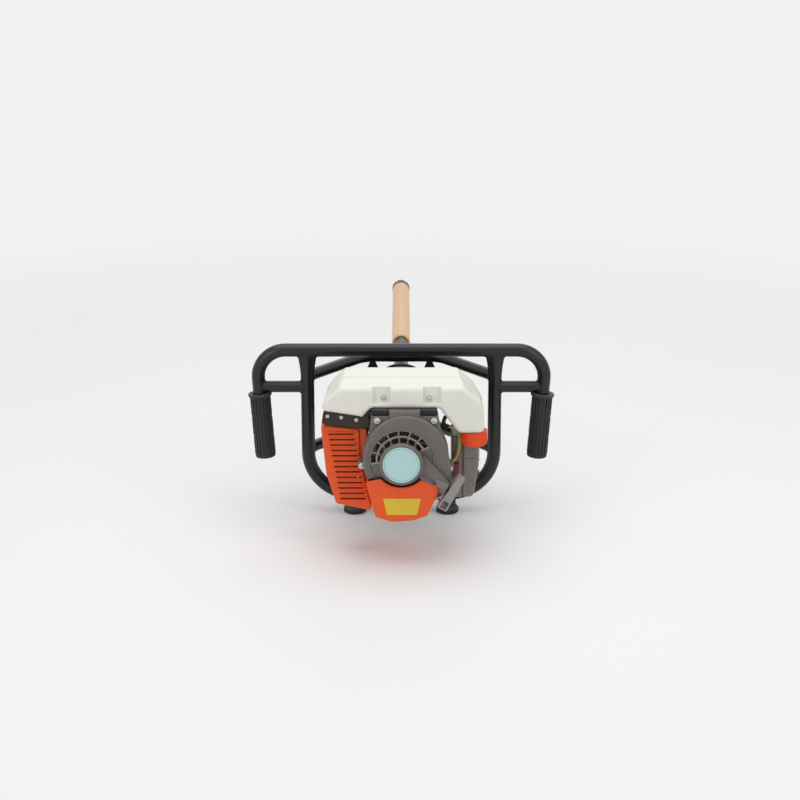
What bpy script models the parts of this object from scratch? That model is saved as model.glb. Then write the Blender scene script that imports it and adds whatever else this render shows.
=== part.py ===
"""Portable core drilling rig, lying level on two rubber feet and its water inlet.

Sizes are millimetres in the rig's own directions: X to the right, Y from the starter
towards the drill bit, Z up, with the crankshaft on X = 0, Z = 0 and the starter's face
at Y = 0. The engine hangs upside down, with the fuel tank on top and the cylinder
pointing down. An empty moves the whole rig so that it stands on Z = 0.
"""

import math

import bmesh
import bpy
from mathutils import Matrix, Vector

MM = 0.001

# Fits
FIT = 0.3            # between pieces that touch
RUN = 0.8            # between a moving piece and its housing
SIDES = 16           # facets round a turned piece
BIG_SIDES = 24       # and round the gearbox

# Frame
FLOOR_Z = -172.0
TUBE_R = 11.0
TUBE_WALL = 2.0
BRACE_R = 9.5
BRACE_WALL = 1.8
FRAME_Y = 260.0
CROSSBAR_Z = 107.0
LEG_TOP_X = 236.3
LEG_LEAN = 4.0       # degrees that each handle leg leans inwards
LEG_BEND_R = 45.0
POST_X = 153.0
POST_FLARE = 1.22    # swelling of the post where it meets the crossbar
POST_FLARE_LENGTH = 26.0
HOOP_Z = -140.0
HOOP_BEND_R = 73.0
STUB_Z = 45.0
BRACE_TOP_Z = 63.0
BRACE_BOTTOM_Z = -61.0
BRACE_BACK_Y = 376.0
BRACE_HALF_WIDTH = 62.0
BRACE_BEND_R = 40.0

# Grips and feet
GRIP_TOP_Z = 34.0
GRIP_LENGTH = 109.0
GRIP_R = 17.4
GRIP_FLANGE_R = 19.4
GRIP_FLANGE = 4.0
GRIP_END = 5.0
FLUTES = 12
FLUTE_DEPTH = 1.5
FOOT_X = 77.0
FOOT_R = 18.5
FOOT_NECK_R = 13.5
FOOT_PAD = 7.0

# Starter
LABEL_R = 28.5
LABEL_T = 1.0
BOSS_R = 33.0
GRILLE_R = 53.0
GRILLE_Y = 18.0
RIM_Y = 24.0
COVER_R = 66.0
COVER_X = 7.0
COVER_BACK_Y = 58.0
COVER_TOP_Z = 76.7
COVER_WALL = 2.5
SLOT_COUNT = 7
SLOT_PITCH = 22.8    # degrees
SLOT_FIRST = 38.5
SLOT_RIB = 4.3
OUTER_SLOT = (43.2, 49.2)
INNER_SLOT = (34.6, 39.6)
REEL_R = 28.0
REEL_CORE_R = 20.0
REEL_FLANGE = 1.8
REEL_WIDTH = 10.0
SPRING_TURNS = 4
SPRING_STRIP = 0.8
SPRING_WIDTH = 4.0
ROPE_R = 2.0
PULL_ANGLE = -31.0   # degrees, direction in which the rope leaves
HANDLE_CENTRE = (77.0, -48.5)
HANDLE_LENGTH = 59.0
HANDLE_WIDTH = 14.0
HANDLE_DEPTH = 17.0
HANDLE_Y = 13.5

# Crank train
SHAFT_R = 7.5
FLYWHEEL_R = 49.0
FLYWHEEL_Y = 38.0
FLYWHEEL_T = 4.0
COIL_X = -20.0
BLADES = 12
BLADE_HEIGHT = 9.0
WEB_R = 27.0
WEB_T = 9.0
CRANK_THROW = 17.0

# Crankcase and cylinder
PLATE_T = 4.0
CASE_R = 38.0
CASE_LENGTH = 60.0
CYLINDER_Y = 98.0
CYLINDER_BASE_Z = -42.0
HEAD_Z = -93.0
BORE_R = 22.0
FIN_HALF_X = 37.0
FIN_HALF_Y = 33.0
FIN_COUNT = 5
FIN_T = 2.0
PLUG_TILT = 18.0     # degrees below the horizontal
PORT_FACE_X = 38.5
PORT_Z = -68.0
PORT_R = 9.0

# Shrouds and muffler
SHROUD_WALL = 2.5
SHROUD_BACK_Y = 124.0
SHROUD_ARC_R = 41.5
MUFFLER_FRONT_Y = 63.0
MUFFLER_DEPTH = 74.0
MUFFLER_WALL = 2.0
CAN_X = -100.0
LOUVRE_TOP_Z = 31.0
LOUVRE_END_Z = -76.0
LOUVRE_PITCH = 8.8
LOUVRE_GAP = 3.4

# Fuel
TANK_FRONT_Y = 40.0
TANK_BACK_Y = 157.0
TANK_SEAM_Y = 98.3
TANK_TOP_Z = 110.0
TANK_WALL = 3.0
TANK_FRONT_WALL = 16.0
CAP_X = 112.5
CAP_Y = 62.0
CAP_R = 20.0
CAP_HEIGHT = 23.0
NECK_R = 15.0
NECK_LENGTH = 12.0
HOSE_R = 2.6

# Intake
INSULATOR_T = 12.0
CARB_LENGTH = 27.0
CARB_HALF = 17.0
CLEANER_FRONT_Y = 84.0
CLEANER_BACK_Y = 150.0
CLEANER_BASE_T = 16.0
CLEANER_WALL = 2.2

# Clutch and gearbox
CLUTCH_R = 34.0
DRUM_R = 38.0
DRUM_WALL = 2.0
BELL_R = 44.0
GEARBOX_Y = 240.0
GEARBOX_R = 57.0
GEARBOX_LENGTH = 90.0
GEARBOX_COVER_LENGTH = 42.0
GEARBOX_WALL = 5.5
RING_BACK = 3.9        # the ring gear's thickness behind its teeth
SUN_TEETH = 15
PLANET_TEETH = 15
PLANETS = 3
GEAR_WIDTH = 20.0
GEAR_Y = 257.0
FIRST_PLANET = 90.0  # degrees
RING_TEETH = SUN_TEETH + 2 * PLANET_TEETH
TOOTH_HIGH = 0.85      # times the module
TOOTH_DEEP = 1.15
MODULE = (GEARBOX_R - GEARBOX_WALL - FIT - RING_BACK) / (RING_TEETH / 2 + TOOTH_DEEP)
BACKLASH = 0.5
SPINDLE_R = 15.0
PIN_R = 5.0
FRAME_PLATE_T = 6.0
FRAME_PLATE_R = 50.0
TAB_X = 48.0
TAB_HALF = 11.0

# Water swivel, valve and drill string
SWIVEL_R = 27.0
SWIVEL_LENGTH = 66.0
INLET_Y = 415.0
VALVE_TOP_Z = -58.0
VALVE_LENGTH = 36.0
VALVE_HALF = 13.0
BARB_R = 8.0
ROD_R = 12.5
ROD_BORE_R = 6.0
ROD_START_Y = 452.0
BARREL_START_Y = 678.0
BARREL_END_Y = 1068.0
BARREL_R = 16.75
BARREL_WALL = 3.0
BARREL_SIDES = 32
HEAD_LENGTH = 22.0
BIT_LENGTH = 20.0
SHANK_LENGTH = 10.0     # of the bit, inside the barrel
CORE_CLEARANCE = 0.8    # the bit's bore inside the barrel's
BIT_R = 17.4
BIT_TEETH = 6

for old in list(bpy.data.objects):
    bpy.data.objects.remove(old)

scene = bpy.context.scene
PARTS = bpy.data.collections.new("drilling_rig")
GUIDES = bpy.data.collections.new("cutters")
scene.collection.children.link(PARTS)
scene.collection.children.link(GUIDES)

RIG = bpy.data.objects.new("rig_origin", None)
PARTS.objects.link(RIG)
BIT_END_Y = BARREL_END_Y + FIT + BIT_LENGTH
RIG.location = (0, -BIT_END_Y / 2 * MM, -FLOOR_Z * MM)
bpy.context.view_layer.update()


# Materials

def material(name, colour, roughness, metallic=0.0):
    made = bpy.data.materials.new(name)
    made.use_nodes = True
    shader = made.node_tree.nodes["Principled BSDF"]
    shader.inputs["Base Color"].default_value = (*colour, 1)
    shader.inputs["Roughness"].default_value = roughness
    shader.inputs["Metallic"].default_value = metallic
    made.diffuse_color = (*colour, 1)
    return made


BLACK_PAINT = material("black_paint", (0.02, 0.02, 0.022), 0.45)
BLACK_RUBBER = material("black_rubber", (0.015, 0.015, 0.016), 0.75)
ORANGE = material("orange_plastic", (0.75, 0.09, 0.02), 0.4)
GREY_PLASTIC = material("grey_plastic", (0.12, 0.11, 0.1), 0.5)
WHITE_PLASTIC = material("white_plastic", (0.82, 0.82, 0.79), 0.4)
BLACK_PLASTIC = material("black_plastic", (0.02, 0.02, 0.02), 0.5)
ALLOY = material("cast_alloy", (0.5, 0.5, 0.49), 0.5, 0.9)
STEEL = material("steel", (0.45, 0.45, 0.45), 0.35, 1.0)
DARK_STEEL = material("dark_steel", (0.1, 0.1, 0.1), 0.4, 1.0)
BRASS = material("brass", (0.7, 0.45, 0.15), 0.3, 1.0)
TAN = material("tan_coating", (0.78, 0.56, 0.34), 0.45, 0.3)
RED = material("red_plastic", (0.3, 0.01, 0.02), 0.4)
FOAM = material("filter_foam", (0.3, 0.28, 0.1), 0.9)
HOSE = material("fuel_hose_yellow", (0.6, 0.5, 0.1), 0.3)
ROPE = material("rope", (0.04, 0.04, 0.04), 0.8)
CERAMIC = material("plug_ceramic", (0.8, 0.8, 0.78), 0.2)


# Shapes, all in the rig's millimetres

def place(name, data, location=(0, 0, 0), rotation=None):
    made = bpy.data.objects.new(name, data)
    GUIDES.objects.link(made)
    made.parent = RIG
    made.location = Vector(location) * MM
    if rotation is not None:
        made.rotation_euler = rotation.to_euler()
    made.hide_render = True
    made.display_type = "WIRE"
    return made


def mesh_from(bm, name):
    data = bpy.data.meshes.new(name)
    bm.to_mesh(data)
    bm.free()
    return data


def aim(direction):
    """The turn that brings local Z onto a direction."""
    return Vector(direction).normalized().to_track_quat("Z", "Y")


def box(name, x, y, z):
    bm = bmesh.new()
    size = Matrix.Diagonal(((x[1] - x[0]) * MM, (y[1] - y[0]) * MM, (z[1] - z[0]) * MM, 1))
    bmesh.ops.create_cube(bm, size=1, matrix=size)
    middle = [(low + high) / 2 for low, high in (x, y, z)]
    return place(name, mesh_from(bm, name), middle)


def rod(name, start, end, radius, end_radius=None, sides=SIDES):
    start, end = Vector(start), Vector(end)
    last = radius if end_radius is None else end_radius
    bm = bmesh.new()
    bmesh.ops.create_cone(bm, cap_ends=True, segments=sides, radius1=radius * MM,
                          radius2=last * MM, depth=(end - start).length * MM)
    return place(name, mesh_from(bm, name), (start + end) / 2, aim(end - start))


def turned(name, profile, origin=(0, 0, 0), direction=(0, 1, 0), sides=SIDES, ring=False):
    """A profile of (radius, place along the direction), its outer side from far to near."""
    data = bpy.data.meshes.new(name)
    count = len(profile)
    edges = [(i, i + 1) for i in range(count - 1)]
    if ring:
        edges.append((count - 1, 0))
    data.from_pydata([(r * MM, 0, h * MM) for r, h in profile], edges, [])
    made = place(name, data, origin, aim(direction))
    screw = made.modifiers.new("turn", "SCREW")
    screw.axis = "Z"
    screw.angle = math.tau
    screw.steps = screw.render_steps = sides
    screw.use_merge_vertices = True
    screw.merge_threshold = 0.00001
    screw.use_smooth_shade = True
    return made


def to_mesh(made):
    """The curve's evaluated mesh as an object in its place, with its caps welded."""
    bpy.context.view_layer.update()
    graph = bpy.context.evaluated_depsgraph_get()
    data = bpy.data.meshes.new_from_object(made.evaluated_get(graph))
    bm = bmesh.new()
    bm.from_mesh(data)
    bmesh.ops.remove_doubles(bm, verts=bm.verts, dist=0.00001)
    bm.to_mesh(data)
    bm.free()
    result = bpy.data.objects.new(made.name, data)
    GUIDES.objects.link(result)
    result.parent = RIG
    result.matrix_basis = made.matrix_basis
    result.hide_render = True
    result.display_type = "WIRE"
    name = made.name
    bpy.data.objects.remove(made)
    result.name = name
    return result


def tube(name, points, radius, wall=0.0, swell=None, sides=12):
    data = bpy.data.curves.new(name, "CURVE")
    data.dimensions = "3D"
    data.bevel_depth = radius * MM
    data.bevel_resolution = (sides - 4) // 2
    data.use_fill_caps = not wall
    line = data.splines.new("POLY")
    line.points.add(len(points) - 1)
    for number, point in enumerate(points):
        line.points[number].co = (*(Vector(point) * MM), 1)
        line.points[number].radius = swell[number] if swell else 1
    made = to_mesh(place(name, data))
    if wall:
        made.data.flip_normals()
        shell = made.modifiers.new("wall", "SOLIDIFY")
        shell.thickness = wall * MM
        shell.offset = 1
    return made


FACES = {
    "Y": Matrix(((1, 0, 0), (0, 0, -1), (0, 1, 0))),
    "Z": Matrix.Identity(3),
    "X": Matrix(((0, 0, 1), (1, 0, 0), (0, 1, 0))),
}


def plate(name, outlines, low, high, across="Y"):
    """A flat outline, with holes after the first, from low to high along one axis."""
    data = bpy.data.curves.new(name, "CURVE")
    data.dimensions = "2D"
    data.fill_mode = "BOTH"
    data.extrude = (high - low) / 2 * MM
    for outline in outlines:
        line = data.splines.new("POLY")
        line.points.add(len(outline) - 1)
        line.use_cyclic_u = True
        for number, (u, v) in enumerate(outline):
            line.points[number].co = (u * MM, v * MM, 0, 1)
    middle = (low + high) / 2
    centre = {"Y": (0, middle, 0), "Z": (0, 0, middle), "X": (middle, 0, 0)}[across]
    return to_mesh(place(name, data, centre, FACES[across].to_quaternion()))


def bevel(made, width, segments=2, angle=35):
    soft = made.modifiers.new("edges", "BEVEL")
    soft.width = width * MM
    soft.segments = segments
    soft.limit_method = "ANGLE"
    soft.angle_limit = math.radians(angle)
    return made


def combine(made, others, operation):
    for other in others:
        step = made.modifiers.new(other.name, "BOOLEAN")
        step.operation = operation
        step.object = other
    return made


def cut(made, *others):
    return combine(made, others, "DIFFERENCE")


def twin(made, name):
    """A second object of the same shape, in the same place."""
    second = made.copy()
    second.name = name
    second.data = made.data.copy()
    GUIDES.objects.link(second)
    return second


def fuse(made, *others):
    return combine(made, others, "UNION")


def one_mesh(name, pieces):
    """Several closed meshes that don't touch, as one cutter."""
    bpy.context.view_layer.update()
    graph = bpy.context.evaluated_depsgraph_get()
    bm = bmesh.new()
    for made in pieces:
        data = bpy.data.meshes.new_from_object(made.evaluated_get(graph))
        data.transform(made.matrix_basis)
        bm.from_mesh(data)
        bpy.data.meshes.remove(data)
    for made in pieces:
        bpy.data.objects.remove(made)
    return place(name, mesh_from(bm, name))


def finish(made, name, surface, axis=None):
    """Moves a shape to the rig's pieces, its origin on its joint's axis if it has one."""
    GUIDES.objects.unlink(made)
    PARTS.objects.link(made)
    made.name = name
    made.hide_render = False
    made.display_type = "TEXTURED"
    made.data.materials.clear()
    made.data.materials.append(surface)
    if made.data.polygons:
        made.data.shade_smooth()
        made.data.set_sharp_from_angle(angle=math.radians(35))
    if axis is not None:
        shift = made.matrix_basis.inverted() @ (Vector(axis) * MM)
        made.data.transform(Matrix.Translation(-shift))
        made.location = Vector(axis) * MM
    return made


# Outlines

def arc(centre, radius, first, last, steps):
    angles = [math.radians(first + (last - first) * i / steps) for i in range(steps + 1)]
    return [(centre[0] + radius * math.cos(a), centre[1] + radius * math.sin(a)) for a in angles]


def circle(centre, radius, steps=SIDES):
    return arc(centre, radius, 0, 360, steps)[:-1]


def rounded_path(corners, radius, steps=6):
    """A line through 3-D corners with its inner corners turned to arcs."""
    corners = [Vector(c) for c in corners]
    points = [corners[0]]
    for before, corner, after in zip(corners, corners[1:], corners[2:]):
        back = (before - corner).normalized()
        on = (after - corner).normalized()
        half = back.angle(on) / 2
        reach = radius / math.tan(half)
        centre = corner + (back + on).normalized() * (radius / math.sin(half))
        start = (corner + back * reach - centre).normalized()
        end = (corner + on * reach - centre).normalized()
        for i in range(steps + 1):
            points.append(centre + start.slerp(end, i / steps) * radius)
    points.append(corners[-1])
    return points


def grown(outline, distance):
    """The outline with each edge moved outwards by a distance."""
    area = sum(a[0] * b[1] - b[0] * a[1] for a, b in zip(outline, outline[1:] + outline[:1]))
    side = distance if area > 0 else -distance
    result = []
    for number, point in enumerate(outline):
        before = Vector(outline[number - 1])
        here = Vector(point)
        after = Vector(outline[(number + 1) % len(outline)])
        one = (here - before).normalized()
        two = (after - here).normalized()
        first = Vector((one.y, -one.x))
        second = Vector((two.y, -two.x))
        bisector = (first + second).normalized()
        result.append(tuple(here + bisector * (side / bisector.dot(first))))
    return result


# Frame

def frame_paths():
    lean = math.tan(math.radians(LEG_LEAN))
    in_grip = (GRIP_LENGTH - GRIP_END - FIT) * math.cos(math.radians(LEG_LEAN))
    leg_end_z = GRIP_TOP_Z - in_grip
    leg_end_x = LEG_TOP_X - (CROSSBAR_Z - leg_end_z) * lean
    handlebar = rounded_path([(-leg_end_x, FRAME_Y, leg_end_z), (-LEG_TOP_X, FRAME_Y, CROSSBAR_Z),
                              (LEG_TOP_X, FRAME_Y, CROSSBAR_Z), (leg_end_x, FRAME_Y, leg_end_z)],
                             LEG_BEND_R, 4)
    top = CROSSBAR_Z - 4
    flare_end = top - POST_FLARE_LENGTH
    hoop = rounded_path([(-POST_X, FRAME_Y, flare_end), (-POST_X, FRAME_Y, HOOP_Z),
                         (POST_X, FRAME_Y, HOOP_Z), (POST_X, FRAME_Y, flare_end)], HOOP_BEND_R, 4)
    hoop = [(-POST_X, FRAME_Y, top)] + hoop + [(POST_X, FRAME_Y, top)]
    braces = {}
    for name, z in (("upper", BRACE_TOP_Z), ("lower", BRACE_BOTTOM_Z)):
        braces[name] = rounded_path([(-POST_X, FRAME_Y, z), (-BRACE_HALF_WIDTH, BRACE_BACK_Y, z),
                                     (BRACE_HALF_WIDTH, BRACE_BACK_Y, z), (POST_X, FRAME_Y, z)],
                                    BRACE_BEND_R, 2)
    return handlebar, hoop, braces


HANDLEBAR_PATH, HOOP_PATH, BRACE_PATHS = frame_paths()


def leg_point(side, z):
    lean = math.tan(math.radians(LEG_LEAN))
    return Vector((side * (LEG_TOP_X - (CROSSBAR_Z - z) * lean), FRAME_Y, z))


def tube_space(name, path, radius):
    """The room that a tube takes in a piece coped to it."""
    return tube(name, path, radius + FIT)


def make_frame():
    handlebar = tube("handlebar", HANDLEBAR_PATH, TUBE_R, TUBE_WALL)
    finish(handlebar, "handlebar_tube", BLACK_PAINT)
    swell = [POST_FLARE] + [1] * (len(HOOP_PATH) - 2) + [POST_FLARE]
    hoop = tube("hoop", HOOP_PATH, TUBE_R, TUBE_WALL, swell)
    cut(hoop, tube_space("handlebar_space", HANDLEBAR_PATH, TUBE_R))
    finish(hoop, "hoop_tube", BLACK_PAINT)
    hoop_space = tube_space("hoop_space", HOOP_PATH, TUBE_R)
    for name, side in (("left", -1), ("right", 1)):
        leg = leg_point(side, STUB_Z)
        stub = tube("stub_" + name, [(side * POST_X, FRAME_Y, STUB_Z), leg], BRACE_R, BRACE_WALL)
        cut(stub, hoop_space, tube_space("leg_space_" + name, HANDLEBAR_PATH, TUBE_R))
        finish(stub, "handle_stub_" + name, BLACK_PAINT)
    for name, path in BRACE_PATHS.items():
        brace = tube("brace_" + name, path, BRACE_R, BRACE_WALL)
        cut(brace, hoop_space)
        finish(brace, "rear_brace_" + name, BLACK_PAINT)
    return hoop_space


def grip_ring(bm, radius, depth, height):
    ring = []
    for i in range(FLUTES * 3):
        angle = math.tau * i / (FLUTES * 3)
        reach = radius - (depth if i % 3 == 0 else 0)
        ring.append(bm.verts.new((reach * MM * math.cos(angle), reach * MM * math.sin(angle),
                                  height * MM)))
    return ring


def make_grip(name, side):
    """A fluted rubber sleeve on the leaning leg, closed at its lower end."""
    body = GRIP_LENGTH - GRIP_FLANGE
    rings = [(GRIP_R - 2.5, 0, 0), (GRIP_R, 0, GRIP_END / 2), (GRIP_R, FLUTE_DEPTH, GRIP_END),
             (GRIP_R, FLUTE_DEPTH, body - 2), (GRIP_FLANGE_R, 0, body), (GRIP_FLANGE_R, 0, GRIP_LENGTH)]
    bm = bmesh.new()
    made = [grip_ring(bm, *ring) for ring in rings]
    for low, high in zip(made, made[1:]):
        for i in range(len(low)):
            j = (i + 1) % len(low)
            bm.faces.new((low[i], low[j], high[j], high[i]))
    bm.faces.new(reversed(made[0]))
    bm.faces.new(made[-1])
    top = leg_point(side, GRIP_TOP_Z)
    up = (leg_point(side, CROSSBAR_Z) - top).normalized()
    bottom = top - up * GRIP_LENGTH
    grip = place("grip", mesh_from(bm, "grip"), bottom, aim(up))
    bore = rod("grip_bore_" + name, bottom + up * GRIP_END, top + up * 5, TUBE_R + FIT, sides=24)
    cut(grip, bore)
    finish(grip, "grip_" + name, BLACK_RUBBER)


def make_foot(name, side, hoop_space):
    top = HOOP_Z - TUBE_R + 5
    profile = [(0, top - FLOOR_Z), (FOOT_NECK_R, top - FLOOR_Z), (FOOT_NECK_R, FOOT_PAD + 5),
               (FOOT_R, FOOT_PAD), (FOOT_R, 1.5), (FOOT_R - 1.5, 0), (0, 0)]
    foot = turned("foot", profile, (side * FOOT_X, FRAME_Y, FLOOR_Z), (0, 0, 1))
    cut(foot, hoop_space)
    finish(foot, "foot_" + name, BLACK_RUBBER)


# Starter

def cover_outline(grow=0.0):
    """The starter cover: a round housing with a neck up to the tank and a rope lobe."""
    centre = (COVER_X, 0)
    left = arc(centre, COVER_R, 148, 288, 8)
    right = arc(centre, COVER_R, 0, 32, 2)
    neck_left = [(-45, COVER_TOP_Z), (-47, 60)]
    neck_right = [(57, 60), (55, COVER_TOP_Z)]
    lobe = [(60, -62), (78, -40), (76, -14)]
    outline = neck_left + left + lobe + right + neck_right
    return grown(outline, grow) if grow else outline


PULL = Vector((math.cos(math.radians(PULL_ANGLE)), 0, math.sin(math.radians(PULL_ANGLE))))
EYELET = Vector((HANDLE_CENTRE[0], HANDLE_Y, HANDLE_CENTRE[1])) - PULL * (HANDLE_WIDTH / 2 + FIT)
BOSS_Y = LABEL_T + FIT
REEL_Y = BOSS_Y + COVER_WALL + 1 + SPRING_WIDTH + RUN


def sector(name, inner, outer, middle, spread, low, high):
    """A slot between two radii, as wide as an angle."""
    half = spread / 2
    outline = arc((0, 0), outer, middle - half, middle + half, 1)
    outline += arc((0, 0), inner, middle + half, middle - half, 1)
    return plate(name, [outline], low, high)


def make_starter_cover():
    body = plate("cover", [cover_outline()], RIM_Y, COVER_BACK_Y)
    dish = turned("grille_dish", [(0, RIM_Y + 1), (GRILLE_R, RIM_Y + 1), (GRILLE_R, RIM_Y - 2),
                                  (GRILLE_R - 3, GRILLE_Y), (0, GRILLE_Y)])
    boss = turned("boss", [(0, RIM_Y + 1), (BOSS_R, RIM_Y + 1), (BOSS_R, BOSS_Y + 2),
                           (BOSS_R - 2, 0), (LABEL_R + 0.7, 0), (LABEL_R + FIT, BOSS_Y), (0, BOSS_Y)])
    across = Vector((-PULL.z, 0, PULL.x))
    high = EYELET + across * 9
    low = EYELET - across * 9
    channel = plate("rope_channel", [[(22, 22), (high.x, high.z), (low.x, low.z),
                                      (60, -38), (30, -22), (12, -10)]], 6, RIM_Y + 1)
    bevel(channel, 2, 1)
    ears = [rod("ear_left", (-61, RIM_Y + 8, -12), (-61, COVER_BACK_Y, -12), 6, sides=12),
            rod("ear_right", (74, RIM_Y + 8, -16.5), (74, COVER_BACK_Y, -16.5), 7, sides=12)]
    fuse(body, dish, boss, channel, *ears)
    hollow = plate("cover_hollow", [cover_outline(-COVER_WALL)], RIM_Y + COVER_WALL, COVER_BACK_Y + 2)
    dish_hollow = rod("dish_hollow", (0, GRILLE_Y + COVER_WALL, 0), (0, RIM_Y + COVER_WALL + 1, 0),
                      GRILLE_R - 3 - COVER_WALL)
    boss_hollow = rod("boss_hollow", (0, BOSS_Y + COVER_WALL, 0), (0, RIM_Y + 2, 0),
                      BOSS_R - COVER_WALL)
    cut(body, hollow, dish_hollow, boss_hollow)
    slots = []
    for i in range(SLOT_COUNT):
        middle = SLOT_FIRST + i * SLOT_PITCH
        spread = SLOT_PITCH - SLOT_RIB
        slots.append(sector("outer_slot", *OUTER_SLOT, middle, spread, GRILLE_Y - 3, RIM_Y + 4))
        slots.append(sector("inner_slot", *INNER_SLOT, middle, spread - 2, GRILLE_Y - 3, RIM_Y + 4))
    cut(body, one_mesh("grille_slots", slots))
    tunnel = rod("rope_tunnel", EYELET + PULL * 4, EYELET - PULL * 45, ROPE_R + RUN, sides=12)
    post = rod("reel_post", (0, BOSS_Y + 1, 0), (0, REEL_Y + REEL_WIDTH, 0), 5)
    cut(body, tunnel)
    fuse(body, post)
    finish(body, "recoil_cover", GREY_PLASTIC)


def make_reel():
    back = REEL_WIDTH
    profile = [(5 + FIT, back), (REEL_R, back), (REEL_R, back - REEL_FLANGE),
               (REEL_CORE_R, back - REEL_FLANGE), (REEL_CORE_R, REEL_FLANGE),
               (REEL_R, REEL_FLANGE), (REEL_R, 0), (5 + FIT, 0)]
    reel = turned("reel", profile, (0, REEL_Y, 0), ring=True)
    finish(reel, "recoil_reel", BLACK_PLASTIC)
    wound = [(REEL_R - 3, back - REEL_FLANGE - FIT), (REEL_R - 3, REEL_FLANGE + FIT),
             (REEL_CORE_R + FIT, REEL_FLANGE + FIT), (REEL_CORE_R + FIT, back - REEL_FLANGE - FIT)]
    finish(turned("wound", wound, (0, REEL_Y, 0), ring=True), "rope_winding", ROPE)


def make_recoil_spring():
    """A flat spiral strip between the cover's wall and the reel."""
    first, last = 6.5, REEL_R - 3
    steps = SPRING_TURNS * 9
    points = []
    for i in range(steps + 1):
        angle = math.tau * SPRING_TURNS * i / steps
        radius = first + (last - first) * i / steps
        points.append((radius * math.cos(angle), radius * math.sin(angle)))
    outer = [(x * (1 + SPRING_STRIP / math.hypot(x, y)), y * (1 + SPRING_STRIP / math.hypot(x, y)))
             for x, y in points]
    low = BOSS_Y + COVER_WALL + FIT
    strip = plate("strip", [points + outer[::-1]], low, low + SPRING_WIDTH)
    finish(strip, "recoil_spring", STEEL)


def make_pull():
    """The hollow pull handle across the rope's way, and the rope's end."""
    across = Vector((-PULL.z, 0, PULL.x))
    centre = Vector((HANDLE_CENTRE[0], HANDLE_Y, HANDLE_CENTRE[1]))
    half = HANDLE_LENGTH / 2
    bm = bmesh.new()
    size = Matrix.Diagonal((HANDLE_WIDTH * MM, HANDLE_DEPTH * MM, HANDLE_LENGTH * MM, 1))
    bmesh.ops.create_cube(bm, size=1, matrix=size)
    handle = place("handle", mesh_from(bm, "handle"), centre)
    handle.rotation_euler = (0, math.radians(-PULL_ANGLE), 0)
    bevel(handle, 2.5)
    bm = bmesh.new()
    room = Matrix.Diagonal(((HANDLE_WIDTH - 4) * MM, (HANDLE_DEPTH - 4) * MM,
                            (half - 7) * 2 * MM, 1))
    bmesh.ops.create_cube(bm, size=1, matrix=room)
    hollow = place("handle_hollow", mesh_from(bm, "handle_hollow"), centre - across * half)
    hollow.rotation_euler = (0, math.radians(-PULL_ANGLE), 0)
    hole = rod("handle_hole", centre - PULL * (HANDLE_WIDTH / 2 + 2), centre + PULL * 2,
               ROPE_R + FIT, sides=10)
    cut(handle, hollow, hole)
    finish(handle, "pull_handle", GREY_PLASTIC, centre)
    start = EYELET - PULL * 16
    end = centre + PULL * (2 - FIT)
    finish(rod("rope", start, end, ROPE_R, sides=8), "starter_rope", ROPE, centre)


# Crank train

def make_crank_train():
    case_y = COVER_BACK_Y + FIT + PLATE_T
    middle = CYLINDER_Y
    end = clutch_y() + 22
    shaft = rod("shaft", (0, REEL_Y + REEL_WIDTH + 6, 0), (0, end, 0), SHAFT_R)
    webs = [rod("web_front", (0, middle - 14, 0), (0, middle - 14 + WEB_T, 0), WEB_R),
            rod("web_back", (0, middle + 14 - WEB_T, 0), (0, middle + 14, 0), WEB_R)]
    gap = box("throw_gap", (-SHAFT_R - 2, SHAFT_R + 2),
              (middle - 14 + WEB_T, middle + 14 - WEB_T), (-SHAFT_R - 2, SHAFT_R + 2))
    pin = rod("crank_pin", (0, middle - 9, -CRANK_THROW), (0, middle + 9, -CRANK_THROW), 6, sides=12)
    fuse(shaft, *webs)
    cut(shaft, gap)
    fuse(shaft, pin)
    finish(shaft, "crankshaft", STEEL, (0, case_y, 0))
    hub_front = REEL_Y + REEL_WIDTH + 10
    hub = turned("flywheel", [(SHAFT_R + FIT, FLYWHEEL_Y + FLYWHEEL_T + 8), (14, FLYWHEEL_Y + FLYWHEEL_T + 8),
                              (14, FLYWHEEL_Y + FLYWHEEL_T), (FLYWHEEL_R, FLYWHEEL_Y + FLYWHEEL_T),
                              (FLYWHEEL_R, FLYWHEEL_Y), (14, FLYWHEEL_Y), (14, hub_front),
                              (SHAFT_R + FIT, hub_front)], ring=True)
    blades = []
    for i in range(BLADES):
        turn = 360 * i / BLADES
        lean = arc((0, 0), 30, turn, turn, 1)[:1] + arc((0, 0), FLYWHEEL_R - 1, turn - 9, turn - 9, 1)[:1]
        way = (Vector(lean[1]) - Vector(lean[0])).normalized()
        side = Vector((-way.y, way.x)) * 1.1
        outline = [tuple(Vector(lean[0]) - side), tuple(Vector(lean[1]) - side),
                   tuple(Vector(lean[1]) + side), tuple(Vector(lean[0]) + side)]
        blades.append(plate("blade", [outline], FLYWHEEL_Y - BLADE_HEIGHT, FLYWHEEL_Y + 1))
    fuse(hub, one_mesh("blades", blades))
    finish(hub, "flywheel", ALLOY)


def clutch_y():
    return COVER_BACK_Y + FIT + PLATE_T + CASE_LENGTH + FIT


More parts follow.
